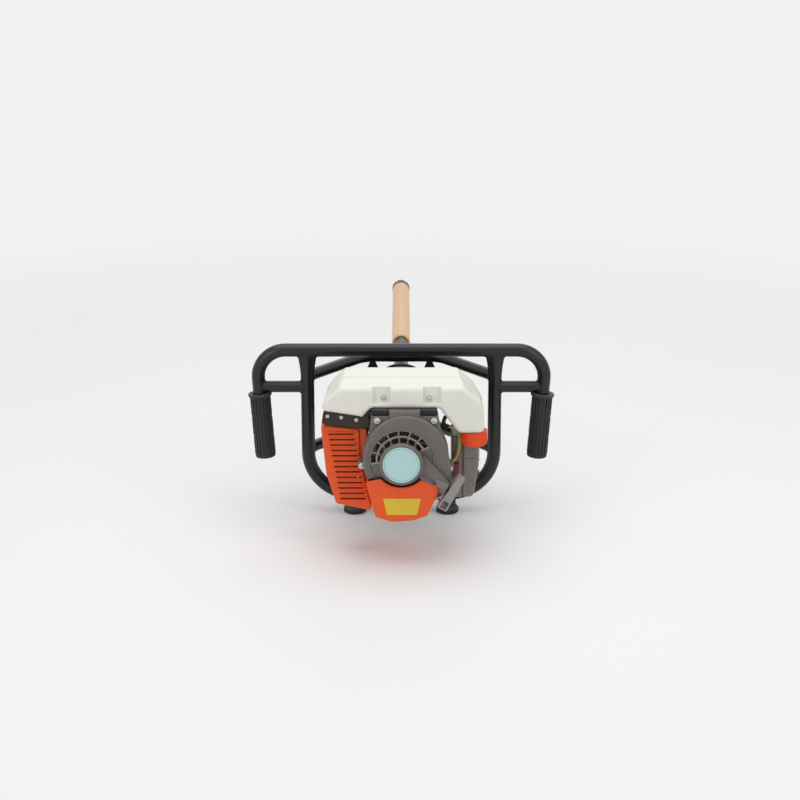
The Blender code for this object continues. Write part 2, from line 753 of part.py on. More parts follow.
def make_clutch():
    low = clutch_y() + 10
    rotor = turned("rotor", [(SHAFT_R + FIT, low + 12), (CLUTCH_R, low + 12), (CLUTCH_R, low),
                             (SHAFT_R + FIT, low)], ring=True)
    gaps = [box("shoe_gap_a", (-1.5, 1.5), (low - 1, low + 13), (16, CLUTCH_R + 2)),
            box("shoe_gap_b", (-1.5, 1.5), (low - 1, low + 13), (-CLUTCH_R - 2, -16))]
    arms = [rod("shoe_hole_a", (18, low - 1, 0), (18, low + 13, 0), 5, sides=12),
            rod("shoe_hole_b", (-18, low - 1, 0), (-18, low + 13, 0), 5, sides=12)]
    cut(rotor, one_mesh("shoe_gaps", gaps + arms))
    finish(rotor, "clutch_rotor", DARK_STEEL)
    back = low + 18
    inner = CLUTCH_R + RUN
    drum = turned("drum", [(8 + FIT, back), (inner + DRUM_WALL, back), (inner + DRUM_WALL, low - 2),
                           (inner, low - 2), (inner, back - 3), (8 + FIT, back - 3)], ring=True)
    finish(drum, "clutch_drum", STEEL)
    shaft = rod("sun_shaft_rod", (0, back - 3, 0), (0, GEAR_Y + GEAR_WIDTH, 0), 8)
    gear = gear_wheel("sun", SUN_TEETH, (0, 0), FIRST_PLANET, 4)
    fuse(shaft, gear)
    finish(shaft, "sun_shaft", STEEL)


# Gears

def tooth_line(teeth, outward, sink, rise, angle):
    """A gear's outline, its flanks straight between two points of the involute."""
    pitch_r = MODULE * teeth / 2
    base_r = pitch_r * math.cos(math.radians(20))
    half_tooth = (math.pi * MODULE / 2 - BACKLASH * outward) / 2 / pitch_r
    pressure = math.radians(20)
    at_pitch = math.tan(pressure) - pressure
    outline = []
    flank = []
    for radius in (pitch_r - sink, pitch_r + rise):
        open_angle = math.acos(min(1.0, base_r / max(radius, base_r)))
        roll = math.tan(open_angle) - open_angle
        flank.append((radius, half_tooth + at_pitch - roll))
    for number in range(teeth):
        centre = math.tau * number / teeth + math.radians(angle)
        for radius, spread in flank:
            outline.append((radius * math.cos(centre - spread), radius * math.sin(centre - spread)))
        for radius, spread in reversed(flank):
            outline.append((radius * math.cos(centre + spread), radius * math.sin(centre + spread)))
    return outline


def gear_wheel(name, teeth, centre, turn, bore):
    outline = tooth_line(teeth, 1, TOOTH_DEEP * MODULE, TOOTH_HIGH * MODULE, turn)
    outline = [(x + centre[0], y + centre[1]) for x, y in outline]
    holes = [circle(centre, bore, 12)] if bore > PIN_R else []
    return plate(name, [outline] + holes, GEAR_Y, GEAR_Y + GEAR_WIDTH)


def make_gears():
    space = tooth_line(RING_TEETH, -1, TOOTH_HIGH * MODULE, TOOTH_DEEP * MODULE, FIRST_PLANET)
    outer_r = GEARBOX_R - GEARBOX_WALL - FIT
    ring = plate("ring", [circle((0, 0), outer_r, BIG_SIDES), space], GEAR_Y - 1, GEAR_Y + GEAR_WIDTH + 1)
    finish(ring, "ring_gear", STEEL)
    reach = MODULE * (SUN_TEETH + PLANET_TEETH) / 2
    for number in range(PLANETS):
        turn = 360 * number / PLANETS + FIRST_PLANET
        centre = arc((0, 0), reach, turn, turn, 1)[0]
        wheel = gear_wheel("planet", PLANET_TEETH, centre, turn, PIN_R + FIT)
        finish(wheel, "planet_%d" % (number + 1), STEEL, (centre[0], GEAR_Y, centre[1]))
    return reach


def make_gearbox(reach):
    low = GEARBOX_Y
    high = low + GEARBOX_LENGTH
    inner = GEARBOX_R - GEARBOX_WALL
    housing = turned("gearbox", [(inner, high), (GEARBOX_R, high), (GEARBOX_R, low + 3),
                                 (GEARBOX_R - 3, low), (12, low), (12, low + 6), (inner, low + 6)],
                     ring=True, sides=BIG_SIDES)
    finish(housing, "gearbox_housing", BLACK_PAINT)
    back = high + FIT + GEARBOX_COVER_LENGTH
    start = high + FIT
    seat = back - 27
    lid = turned("gearbox_lid", [(SPINDLE_R + 3, back), (36, back), (38, back - 4), (50, start + 10),
                                 (GEARBOX_R, start + 8), (GEARBOX_R, start), (inner - 4, start),
                                 (32, seat - 2), (26, seat), (26, back - 11),
                                 (SPINDLE_R + 3, back - 11)], ring=True, sides=BIG_SIDES)
    finish(lid, "gearbox_cover", BLACK_PAINT)
    bearing = turned("bearing", [(26 - FIT, back - 11 - FIT), (26 - FIT, seat), (SPINDLE_R + FIT, seat),
                                 (SPINDLE_R + FIT, back - 11 - FIT)], ring=True)
    finish(bearing, "spindle_bearing", STEEL)
    carrier_y = GEAR_Y + GEAR_WIDTH + 2
    spindle_end = ROD_START_Y - FIT
    spindle = turned("carrier", [(0, spindle_end + 18), (8, spindle_end + 18), (8, spindle_end),
                                 (SPINDLE_R, spindle_end), (SPINDLE_R, carrier_y + 10),
                                 (reach + 10, carrier_y + 10), (reach + 10, carrier_y), (0, carrier_y)])
    pins = []
    for number in range(PLANETS):
        turn = 360 * number / PLANETS + FIRST_PLANET
        x, z = arc((0, 0), reach, turn, turn, 1)[0]
        pins.append(rod("planet_pin", (x, GEAR_Y, z), (x, carrier_y + 1, z), PIN_R, sides=12))
    fuse(spindle, one_mesh("planet_pins", pins))
    water = rod("spindle_bore", (0, INLET_Y, 0), (0, spindle_end + 20, 0), 5, sides=12)
    cross = rod("spindle_cross_hole", (0, INLET_Y + 1, -SPINDLE_R - 2), (0, INLET_Y + 1, SPINDLE_R + 2),
                3.5, sides=12)
    cut(spindle, water, cross)
    finish(spindle, "planet_carrier", STEEL)
    return back


def make_clutch_housing():
    low = clutch_y()
    high = GEARBOX_Y - FIT
    bell = turned("bell", [(12, high), (40, high), (40, high - 8), (27, high - 12), (27, low + 56),
                           (BELL_R, low + 42), (BELL_R, low + 6), (BELL_R + 3, low + 6),
                           (BELL_R + 3, low), (BELL_R - 3, low), (BELL_R - 3, low + 40),
                           (22, low + 56), (12, high - 14)], ring=True)
    finish(bell, "clutch_housing", ALLOY)


def make_frame_plate(back):
    """The plate between the two rear braces that carries the gearbox."""
    low = back + FIT
    high = low + FRAME_PLATE_T
    disc = plate("frame_plate", [circle((0, 0), FRAME_PLATE_R, BIG_SIDES)], low, high)
    tabs = []
    for x in (-TAB_X, TAB_X):
        left, right = x - TAB_HALF, x + TAB_HALF
        outline = [(x - 5, BRACE_TOP_Z), (left, BRACE_TOP_Z - 24), (left, BRACE_BOTTOM_Z + 24),
                   (x - 5, BRACE_BOTTOM_Z), (x + 5, BRACE_BOTTOM_Z), (right, BRACE_BOTTOM_Z + 24),
                   (right, BRACE_TOP_Z - 24), (x + 5, BRACE_TOP_Z)]
        tabs.append(plate("tab", [outline], low + 0.5, high - 0.5))
    fuse(disc, *tabs)
    cut(disc, rod("plate_hole", (0, low - 2, 0), (0, high + 2, 0), 24))
    for name, path in BRACE_PATHS.items():
        cut(disc, tube_space("brace_space_" + name, path, BRACE_R))
    finish(disc, "frame_plate", BLACK_PAINT)
    return high


# Engine

def make_crankcase():
    low = COVER_BACK_Y + FIT
    high = low + PLATE_T + CASE_LENGTH
    back_plate = plate("back_plate", [cover_outline(-0.4)], low, low + PLATE_T)
    case = rod("case", (0, low + PLATE_T - 1, 0), (0, high, 0), CASE_R)
    seat = box("cylinder_seat", (-29, 29), (CYLINDER_Y - 24, CYLINDER_Y + 24),
               (CYLINDER_BASE_Z + FIT, 0))
    fuse(back_plate, case, seat)
    chamber = rod("crank_chamber", (0, CYLINDER_Y - 17, 0), (0, CYLINDER_Y + 17, 0), WEB_R + 2)
    bore = rod("shaft_bore", (0, low - 2, 0), (0, high + 2, 0), SHAFT_R + FIT)
    throat = rod("throat", (0, CYLINDER_Y, 0), (0, CYLINDER_Y, CYLINDER_BASE_Z - 2), BORE_R - 8)
    lead_hole = rod("lead_hole", (-36, low - 2, 64), (-36, low + PLATE_T + 2, 64), 4.5, sides=12)
    cut(back_plate, chamber, bore, throat, lead_hole)
    finish(back_plate, "crankcase", ALLOY)


def plug_line():
    tilt = math.radians(PLUG_TILT)
    way = Vector((0, math.cos(tilt), -math.sin(tilt)))
    return Vector((0, CYLINDER_Y + 12, HEAD_Z + 14)), way


def make_cylinder():
    base = box("cylinder_base", (-28, 28), (CYLINDER_Y - 24, CYLINDER_Y + 24),
               (CYLINDER_BASE_Z - 8, CYLINDER_BASE_Z))
    barrel = rod("barrel", (0, CYLINDER_Y, CYLINDER_BASE_Z - 7), (0, CYLINDER_Y, HEAD_Z + FIN_T / 2),
                 BORE_R + 6, sides=12)
    fins = []
    low = CYLINDER_BASE_Z - 12
    for i in range(FIN_COUNT):
        z = low + (HEAD_Z + FIN_T - low) * i / (FIN_COUNT - 1)
        corner = 9
        outline = []
        for sx, sy, turn in ((1, 1, 0), (-1, 1, 90), (-1, -1, 180), (1, -1, 270)):
            centre = (sx * (FIN_HALF_X - corner), CYLINDER_Y + sy * (FIN_HALF_Y - corner))
            outline += arc(centre, corner, turn, turn + 90, 1)
        fins.append(plate("fin", [outline], z - FIN_T, z, "Z"))
    ports = box("port_block", (-PORT_FACE_X, PORT_FACE_X), (CYLINDER_Y - 14, CYLINDER_Y + 14),
                (PORT_Z - 14, PORT_Z + 14))
    grid = one_mesh("fins", fins)
    fuse(base, barrel, grid, ports)
    cut(base, shroud_limit())
    bore = rod("bore", (0, CYLINDER_Y, CYLINDER_BASE_Z + 2), (0, CYLINDER_Y, HEAD_Z + 10), BORE_R)
    port = rod("ports", (-PORT_FACE_X - 2, CYLINDER_Y, PORT_Z), (PORT_FACE_X + 2, CYLINDER_Y, PORT_Z),
               PORT_R, sides=16)
    start, way = plug_line()
    thread = rod("plug_hole", start - way * 8, start + way * 14, 7, sides=12)
    socket = rod("plug_socket", start + way * 10, start + way * 60, 13, sides=12)
    cut(base, bore, port, thread, socket)
    finish(base, "cylinder", ALLOY)


def make_spark_plug():
    start, way = plug_line()
    profile = [(0, 44), (3, 44), (3, 38), (5, 37), (5, 23), (8, 22), (8, 10 + FIT), (7 - FIT, 10 + FIT),
               (7 - FIT, -4), (0, -4)]
    plug = turned("plug", profile, start, way, sides=12)
    finish(plug, "spark_plug", CERAMIC)
    boot = turned("boot", [(0, 62), (6, 62), (9, 56), (9, 27), (5 + FIT, 27), (5 + FIT, 45), (0, 45)],
                  start, way, sides=12)
    end = start + way * 58
    route = [end, end + Vector((-16, -4, 8)), Vector((-50, 142, -50)), Vector((-55, 130, -5)),
             Vector((-53, 100, 38)), Vector((-44, 76, 58)), Vector((-36, 62, 64)),
             Vector((-34, 51, 64)), Vector((-28, 47, 64)), Vector((COIL_X - FIT, 47, 64))]
    lead = tube("lead", smooth_route(route, 2), 3, sides=6)
    fuse(boot, lead)
    finish(boot, "ignition_lead", BLACK_RUBBER)


def smooth_route(points, steps):
    """A Catmull-Rom curve through chosen points."""
    points = [Vector(p) for p in points]
    ends = [points[0] * 2 - points[1]] + points + [points[-1] * 2 - points[-2]]
    result = []
    for a, b, c, d in zip(ends, ends[1:], ends[2:], ends[3:]):
        for i in range(steps):
            t = i / steps
            result.append((b * 2 + (c - a) * t + (a * 2 - b * 5 + c * 4 - d) * t * t
                           + (b * 3 - a - c * 3 + d) * t * t * t) / 2)
    result.append(points[-1])
    return result


def make_ignition_coil():
    top = COVER_TOP_Z - COVER_WALL - FIT
    coil = box("coil", (COIL_X, 16), (FLYWHEEL_Y - 3, COVER_BACK_Y - FIT), (FLYWHEEL_R + 4, top))
    bevel(coil, 2)
    finish(coil, "ignition_coil", BLACK_PLASTIC)


def shroud_outline():
    top = arc((0, 0), SHROUD_ARC_R, 222, 316, 8)
    return [(-55, -33)] + top + [(57, -40), (58, -47), (40, -88), (17, -96), (-15, -98),
                                 (-40, -90), (-49, -55)]


def shroud_limit():
    """Everything below and beside the room inside the shroud's lower half."""
    low = [p for p in grown(shroud_outline(), -SHROUD_WALL - 2 * FIT) if p[1] < -50]
    low.sort()
    left, right = low[0], low[-1]
    edge = [(-70, 0), (left[0], 0)] + low + [(right[0], 0), (70, 0), (70, -130), (-70, -130)]
    return plate("shroud_limit", [edge], CYLINDER_Y - 50, CYLINDER_Y + 50)


def make_shroud():
    low = GRILLE_Y - FIT - SHROUD_WALL
    outline = shroud_outline()
    body = plate("shroud", [outline], low, SHROUD_BACK_Y)
    inner = plate("shroud_hollow", [grown(outline, -SHROUD_WALL)], low + SHROUD_WALL, SHROUD_BACK_Y + 2)
    room = plate("cover_room", [cover_outline(FIT)], GRILLE_Y - FIT, COVER_BACK_Y + PLATE_T + 2 * FIT)
    above = box("crankcase_room", (-70, 70), (COVER_BACK_Y, SHROUD_BACK_Y + 3),
                (CYLINDER_BASE_Z - 10, 0))
    intake = box("intake_room", (28, 80), (CYLINDER_Y - 24, SHROUD_BACK_Y + 3), (PORT_Z - 21, 0))
    exhaust = rod("exhaust_room", (-70, CYLINDER_Y, PORT_Z), (-30, CYLINDER_Y, PORT_Z), 16)
    cut(body, inner, room, above, intake, exhaust)
    finish(body, "cylinder_shroud", ORANGE)


MUFFLER_OUTLINE = [(-124.5, 44), (-64, 37), (-62.5, -10.6), (-55, -47), (-44.5, -98), (-101.5, -86),
                   (-116.5, -37)]


def make_muffler():
    low = MUFFLER_FRONT_Y
    high = low + MUFFLER_DEPTH
    body = plate("muffler_shell", [MUFFLER_OUTLINE], low, high)
    bevel(body, 3, 1)
    inner = plate("muffler_room", [grown(MUFFLER_OUTLINE, -MUFFLER_WALL)], low + MUFFLER_WALL, high + 4)
    slots = []
    for i in range(int((LOUVRE_TOP_Z - LOUVRE_END_Z) / LOUVRE_PITCH) + 1):
        z = LOUVRE_TOP_Z - LOUVRE_PITCH * i
        left = -116 + (LOUVRE_TOP_Z - z) * 0.17
        slots.append(box("louvre", (left, left + 44), (low - 4, low + MUFFLER_WALL + 2),
                         (z - LOUVRE_GAP / 2, z + LOUVRE_GAP / 2)))
    side = rod("pipe_room", (-75, CYLINDER_Y, PORT_Z), (-35, CYLINDER_Y, PORT_Z), 16)
    cut(body, inner, one_mesh("louvres", slots), side)
    (top_x, top_z), (low_x, low_z) = MUFFLER_OUTLINE[0], MUFFLER_OUTLINE[-1]
    for z in (12, -20):
        wall_x = top_x + (low_x - top_x) * (top_z - z) / (top_z - low_z)
        fuse(body, rod("cover_post", (wall_x + MUFFLER_WALL / 2, CYLINDER_Y, z),
                       (CAN_X - FIT, CYLINDER_Y, z), 5, sides=10))
    finish(body, "muffler_cover", ORANGE)
    can = box("can", (CAN_X, -70), (low + 7, high - 6), (-74, 28))
    bevel(can, 4)
    pipe = rod("exhaust_pipe", (-72, CYLINDER_Y, PORT_Z), (-PORT_FACE_X - FIT, CYLINDER_Y, PORT_Z), 13,
               sides=12)
    fuse(can, pipe)
    room = box("can_room", (-98, -72), (low + 9, high - 8), (-72, 26))
    gas = rod("exhaust_bore", (-80, CYLINDER_Y, PORT_Z), (-PORT_FACE_X + 1, CYLINDER_Y, PORT_Z), PORT_R,
              sides=12)
    outlet = rod("outlet", (-86, high - 12, 0), (-86, high, 0), 6, sides=12)
    cut(can, room, gas, outlet)
    finish(can, "muffler", DARK_STEEL)
    shield = plate("shield", [[(-119, 71), (-122, 50), (-63.5, 42), (-49, 44), (-49, 72), (-60.3, 61)]],
                   low - 13, low - 11)
    shelf = box("shield_shelf", (-118, -66), (low - 12, high - 8), (46.5, 48.5))
    fuse(shield, shelf)
    finish(shield, "heat_shield", BLACK_PLASTIC)


TANK_OUTLINE = [(-95, TANK_TOP_Z), (-118, 90), (-123, 73), (-60, 63), (-46, 77), (58, 77),
                (78, 50), (88, 37), (127, 37), (127, 62), (122, 88), (95, TANK_TOP_Z)]


HOSE_START = Vector((73.2, 72, 38))


def outlet_place():
    """The middle of the tank's slanted inner wall, and the way out of it."""
    top, bottom = Vector((58, 72, 77)), Vector((78, 72, 50))
    return top.lerp(bottom, 0.75), Vector((bottom.z - top.z, 0, top.x - bottom.x)).normalized()


def make_tank():
    """Two moulded trays that meet at the seam, and the cap."""
    low, high = TANK_FRONT_Y, TANK_BACK_Y
    body = plate("tank", [TANK_OUTLINE], low, high)
    bevel(body, 6, 2, 25)
    neck = rod("neck", (CAP_X, CAP_Y, 37 - NECK_LENGTH), (CAP_X, CAP_Y, 42), NECK_R)
    fuse(body, neck)
    room = plate("tank_room", [grown(TANK_OUTLINE, -TANK_WALL)], low + TANK_FRONT_WALL,
                 high - TANK_WALL)
    filler = rod("filler", (CAP_X, CAP_Y, 10), (CAP_X, CAP_Y, 50), NECK_R - 3)
    recesses = [box("recess_left", (-45, -16), (low - 2, low + 9), (85, 120)),
                box("recess_right", (33, 61), (low - 2, low + 9), (85, 120))]
    housing = plate("cover_neck_room", [cover_outline(FIT)], low - 2, COVER_BACK_Y + PLATE_T + 1)
    cut(body, room, filler, one_mesh("recesses", recesses), housing)
    rear = twin(body, "tank_rear")
    wide = (grown(TANK_OUTLINE, 10)[2][0], grown(TANK_OUTLINE, 10)[9][0])
    tall = (0, TANK_TOP_Z + 20)
    cut(body, box("rear_limit", wide, (TANK_SEAM_Y - FIT / 2, high + 5), tall))
    cut(rear, box("front_limit", wide, (low - 5, TANK_SEAM_Y + FIT / 2), tall))
    finish(body, "fuel_tank_front", WHITE_PLASTIC)
    finish(rear, "fuel_tank_rear", WHITE_PLASTIC)
    top = 37 - FIT
    inside = top - NECK_LENGTH - 1
    cap = turned("cap", [(0, inside), (NECK_R + FIT, inside), (NECK_R + FIT, top), (CAP_R, top),
                         (CAP_R, top - CAP_HEIGHT + 2), (CAP_R - 2, top - CAP_HEIGHT),
                         (0, top - CAP_HEIGHT)], (CAP_X, CAP_Y, 0), (0, 0, 1))
    finish(cap, "fuel_cap", ORANGE)
    wall, away = outlet_place()
    bend = [wall + away * 2, wall + away * 7, wall + Vector((-7.5, 0, -12)),
            HOSE_START - Vector((5, 0, 1)), HOSE_START - Vector((2, 0, 0))]
    fitting = tube("fitting", smooth_route(bend, 2) + [HOSE_START], 3.2, sides=6)
    fuse(fitting, rod("grommet", wall + away * FIT, wall + away * 3.5, 6.5, sides=12))
    finish(fitting, "tank_outlet", BLACK_PLASTIC)


def intake_start():
    return PORT_FACE_X + FIT


def make_intake():
    first = intake_start()
    second = first + INSULATOR_T
    block = box("insulator", (first, second), (CYLINDER_Y - 15, CYLINDER_Y + 15),
                (PORT_Z - 17, PORT_Z + 17))
    bore = rod("insulator_bore", (first - 2, CYLINDER_Y, PORT_Z), (second + 2, CYLINDER_Y, PORT_Z),
               PORT_R, sides=16)
    cut(block, bore)
    finish(block, "intake_insulator", BLACK_PLASTIC)
    start = second + FIT
    end = start + CARB_LENGTH
    carb = box("carb", (start, end), (CYLINDER_Y - CARB_HALF, CYLINDER_Y + CARB_HALF),
               (PORT_Z - CARB_HALF, PORT_Z + CARB_HALF))
    bevel(carb, 3)
    middle = (start + end) / 2
    tower = rod("throttle_tower", (middle, CYLINDER_Y, PORT_Z + CARB_HALF - 2),
                (middle, CYLINDER_Y, PORT_Z + CARB_HALF + 7), 8, sides=16)
    fuse(carb, tower)
    throat = rod("carb_throat", (start - 2, CYLINDER_Y, PORT_Z), (end + 2, CYLINDER_Y, PORT_Z),
                 PORT_R, sides=16)
    well = rod("primer_well", (middle, CYLINDER_Y, PORT_Z - CARB_HALF - 2),
               (middle, CYLINDER_Y, PORT_Z - CARB_HALF + 6), 8 + RUN, sides=16)
    cut(carb, throat, well)
    finish(carb, "carburettor", ALLOY)
    bulb_z = PORT_Z - CARB_HALF + 6 - 4 - FIT
    bulb = turned("bulb", [(0, 0), (8, 0), (8, -5), (6.5, -9), (3.5, -11.5), (0, -12)],
                  (middle, CYLINDER_Y, bulb_z), (0, 0, 1), sides=16)
    finish(bulb, "primer_bulb", RED)
    arm_z = PORT_Z + CARB_HALF + 7 + FIT
    hub = rod("arm_hub", (middle, CYLINDER_Y, arm_z), (middle, CYLINDER_Y, arm_z + 4), 5, sides=16)
    arm = box("arm", (middle - 3.5, middle + 3.5), (CYLINDER_Y - 24, CYLINDER_Y), (arm_z, arm_z + 2.5))
    fuse(hub, arm)
    finish(hub, "throttle_lever", STEEL, (middle, CYLINDER_Y, arm_z))
    return end + FIT


def cleaner_outline(low_x, high_x):
    return [(low_x, 18), (high_x, 18), (high_x, -30), (high_x - 7, -78), (high_x - 12, -83), (low_x, -83)]


def make_air_cleaner(start):
    mid = start + CLEANER_BASE_T
    low, high = CLEANER_FRONT_Y, CLEANER_BACK_Y
    base = box("cleaner_base", (start, mid), (low, high), (-83, 18))
    bevel(base, 3)
    hole = rod("cleaner_hole", (start - 2, CYLINDER_Y, PORT_Z), (mid + 2, CYLINDER_Y, PORT_Z),
               PORT_R, sides=16)
    room = box("base_room", (start + CLEANER_WALL, mid + 2), (low + CLEANER_WALL, high - CLEANER_WALL),
               (-83 + CLEANER_WALL, 18 - CLEANER_WALL))
    cut(base, hole, room)
    finish(base, "air_cleaner_base", GREY_PLASTIC)
    far = 121.0
    outline = cleaner_outline(mid + FIT, far)
    cover = plate("cleaner_cover", [outline], low, high)
    bevel(cover, 4)
    inner = cleaner_outline(mid - 5, far - CLEANER_WALL)
    inner = [(x, max(min(z, 18 - CLEANER_WALL), -83 + CLEANER_WALL)) for x, z in inner]
    hollow = plate("cleaner_room", [inner], low + CLEANER_WALL, high - CLEANER_WALL)
    cut(cover, hollow)
    finish(cover, "air_cleaner_cover", GREY_PLASTIC)
    room_edge = CLEANER_WALL + FIT
    foam = box("foam", (start + CLEANER_WALL + 3, mid + 6), (low + room_edge, high - room_edge),
               (-83 + room_edge, 18 - room_edge))
    finish(foam, "air_filter", FOAM)
    pivot = (start + 8, low - FIT, -46)
    lever = rod("choke_hub", (pivot[0], low - FIT - 3, pivot[2]), pivot, 5, sides=16)
    tab = box("choke_tab", (pivot[0] - 3, pivot[0] + 3), (low - 3 - FIT, low - FIT), (-46, -25))
    grip = box("choke_grip", (pivot[0] - 3.5, pivot[0] + 3.5), (low - 9, low - FIT), (-32, -24))
    fuse(lever, tab, grip)
    finish(lever, "choke_lever", RED, pivot)


def make_fuel_hose():
    route = [HOSE_START + Vector((2.5, 0, 0)), (80, 72, 38), (86.5, 73, 33), (89.5, 74, 22),
             (89, 76, 4), (86, 78, -12), (78, 77, -24), (74, 74, -40), (74, 73, -53),
             (74, 76, -59.5), (74, CYLINDER_Y - CARB_HALF - FIT, -60)]
    start = HOSE_START + Vector((FIT, 0, 0))
    hose = tube("hose", [start] + smooth_route(route, 2), HOSE_R, sides=6)
    finish(hose, "fuel_hose", HOSE)


# Water side and drill string

def make_water(high):
    low = high + FIT
    end = low + SWIVEL_LENGTH
    body = turned("swivel", [(SPINDLE_R + FIT, end), (SWIVEL_R, end), (SWIVEL_R, low + 7), (34, low + 7),
                             (34, low), (SPINDLE_R + FIT, low)], ring=True)
    outlet = rod("swivel_boss", (0, INLET_Y, -SPINDLE_R - 2), (0, INLET_Y, VALVE_TOP_Z + 18), 13)
    fuse(body, outlet)
    chamber = rod("water_chamber", (0, INLET_Y - 9, 0), (0, INLET_Y + 9, 0), SPINDLE_R + 5)
    port = rod("swivel_port", (0, INLET_Y, -SPINDLE_R + 4), (0, INLET_Y, VALVE_TOP_Z + 10), 8 + FIT, sides=12)
    cut(body, chamber, port)
    finish(body, "swivel_body", ALLOY)
    bottom = VALVE_TOP_Z - VALVE_LENGTH
    valve = box("valve", (-VALVE_HALF, VALVE_HALF), (INLET_Y - VALVE_HALF, INLET_Y + VALVE_HALF),
                (bottom, VALVE_TOP_Z))
    bevel(valve, 4)
    nipple = rod("valve_nipple", (0, INLET_Y, VALVE_TOP_Z - 4), (0, INLET_Y, VALVE_TOP_Z + 28), 8, sides=12)
    stem = rod("valve_stem_seat", (0, INLET_Y, (bottom + VALVE_TOP_Z) / 2),
               (VALVE_HALF + 5, INLET_Y, (bottom + VALVE_TOP_Z) / 2), 6, sides=16)
    fuse(valve, nipple, stem)
    water = rod("valve_bore", (0, INLET_Y, bottom - 2), (0, INLET_Y, VALVE_TOP_Z + 30), 5, sides=12)
    cut(valve, water)
    finish(valve, "valve_body", BRASS)
    pivot = (VALVE_HALF + 5 + FIT, INLET_Y, (bottom + VALVE_TOP_Z) / 2)
    hub = rod("lever_hub", pivot, (pivot[0] + 4, INLET_Y, pivot[2]), 7, sides=16)
    arm = box("lever_arm", (pivot[0] + 1, pivot[0] + 4), (INLET_Y - 6, INLET_Y + 6),
              (pivot[2] - 52, pivot[2]))
    bevel(arm, 1)
    fuse(hub, arm)
    finish(hub, "valve_lever", RED, pivot)
    top_z = bottom - FIT - FLOOR_Z
    profile = [(4, top_z), (10, top_z), (10, top_z - 12), (BARB_R - 1, top_z - 13)]
    for i in range(3):
        z = top_z - 48 - 10 * i
        profile += [(BARB_R - 1.5, z), (BARB_R, z - 1), (BARB_R - 1.8, z - 8)]
    profile += [(BARB_R - 2, 0), (4, 0)]
    barb = turned("barb", profile, (0, INLET_Y, FLOOR_Z), (0, 0, 1), ring=True, sides=12)
    finish(barb, "hose_barb", BRASS)


def make_drill_string():
    start = ROD_START_Y
    end = BARREL_START_Y + HEAD_LENGTH
    rod_piece = turned("drill_rod", [(ROD_BORE_R, end), (ROD_R, end), (ROD_R, start), (8 + FIT, start),
                                     (8 + FIT, start + 20), (ROD_BORE_R, start + 20)], ring=True)
    finish(rod_piece, "drill_rod", DARK_STEEL)
    inner = BARREL_R - BARREL_WALL
    socket_r = BARREL_R - BARREL_WALL / 2 + FIT
    socket_y = BARREL_END_Y - SHANK_LENGTH
    barrel = turned("barrel_tube", [(inner, socket_y), (socket_r, socket_y), (socket_r, BARREL_END_Y),
                                    (BARREL_R, BARREL_END_Y),
                                    (BARREL_R, BARREL_START_Y + 2), (BARREL_R - 2, BARREL_START_Y),
                                    (ROD_R + FIT, BARREL_START_Y),
                                    (ROD_R + FIT, BARREL_START_Y + HEAD_LENGTH + 2),
                                    (inner, BARREL_START_Y + HEAD_LENGTH + 8)], ring=True, sides=BARREL_SIDES)
    finish(barrel, "core_barrel", TAN)
    low = BARREL_END_Y + FIT
    shank_r = socket_r - FIT
    shank_y = socket_y + FIT
    bore_r = inner - CORE_CLEARANCE
    bit = turned("bit", [(bore_r, low + BIT_LENGTH), (BIT_R, low + BIT_LENGTH), (BIT_R, low + 8),
                         (BARREL_R, low + 7), (BARREL_R, low), (shank_r, low), (shank_r, shank_y),
                         (bore_r, shank_y)], ring=True, sides=BARREL_SIDES)
    slots = []
    for i in range(BIT_TEETH // 2):
        slot = box("bit_slot", (-BIT_R - 2, BIT_R + 2), (low + BIT_LENGTH - 8, low + BIT_LENGTH + 2),
                   (-1.3, 1.3))
        slot.rotation_euler = (0, math.tau / BIT_TEETH * i, 0)
        slots.append(slot)
    cut(bit, *slots)
    finish(bit, "core_bit", DARK_STEEL)


hoop_room = make_frame()
for grip_name, grip_side in (("left", -1), ("right", 1)):
    make_grip(grip_name, grip_side)
    make_foot(grip_name, grip_side, hoop_room)
make_starter_cover()
make_reel()
make_recoil_spring()
make_pull()
make_crank_train()
make_clutch()
planet_reach = make_gears()
gearbox_back = make_gearbox(planet_reach)
make_clutch_housing()
plate_back = make_frame_plate(gearbox_back)
make_crankcase()
make_cylinder()
make_spark_plug()
make_ignition_coil()
make_shroud()
make_muffler()
make_tank()
cleaner_start = make_intake()
make_air_cleaner(cleaner_start)
make_fuel_hose()
make_water(plate_back)
make_drill_string()
bpy.context.view_layer.update()
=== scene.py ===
"""The portable core drilling rig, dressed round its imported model.

Shapes are made in the rig's own millimetres: X to the right, Y from the starter to the
bit, Z up, with the crankshaft on X = 0, Z = 0. settle_in brings each one to the frame.
"""
import math

import bmesh
import bpy
from mathutils import Matrix, Vector


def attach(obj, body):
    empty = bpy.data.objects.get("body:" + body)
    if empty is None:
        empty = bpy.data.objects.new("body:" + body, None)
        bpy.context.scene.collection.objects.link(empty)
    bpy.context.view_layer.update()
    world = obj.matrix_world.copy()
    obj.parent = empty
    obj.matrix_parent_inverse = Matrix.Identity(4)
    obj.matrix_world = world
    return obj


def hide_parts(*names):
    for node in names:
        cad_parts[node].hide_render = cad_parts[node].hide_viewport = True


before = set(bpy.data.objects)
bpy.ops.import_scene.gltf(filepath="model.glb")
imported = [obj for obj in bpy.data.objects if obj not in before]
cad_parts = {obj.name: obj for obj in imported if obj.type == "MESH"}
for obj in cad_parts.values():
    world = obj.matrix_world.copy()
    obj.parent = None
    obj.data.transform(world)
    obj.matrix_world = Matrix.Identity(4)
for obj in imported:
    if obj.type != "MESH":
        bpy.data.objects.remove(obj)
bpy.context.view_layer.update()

RIG = Matrix.Translation((0, -0.54415, 0.172)) @ Matrix.Scale(0.001, 4)

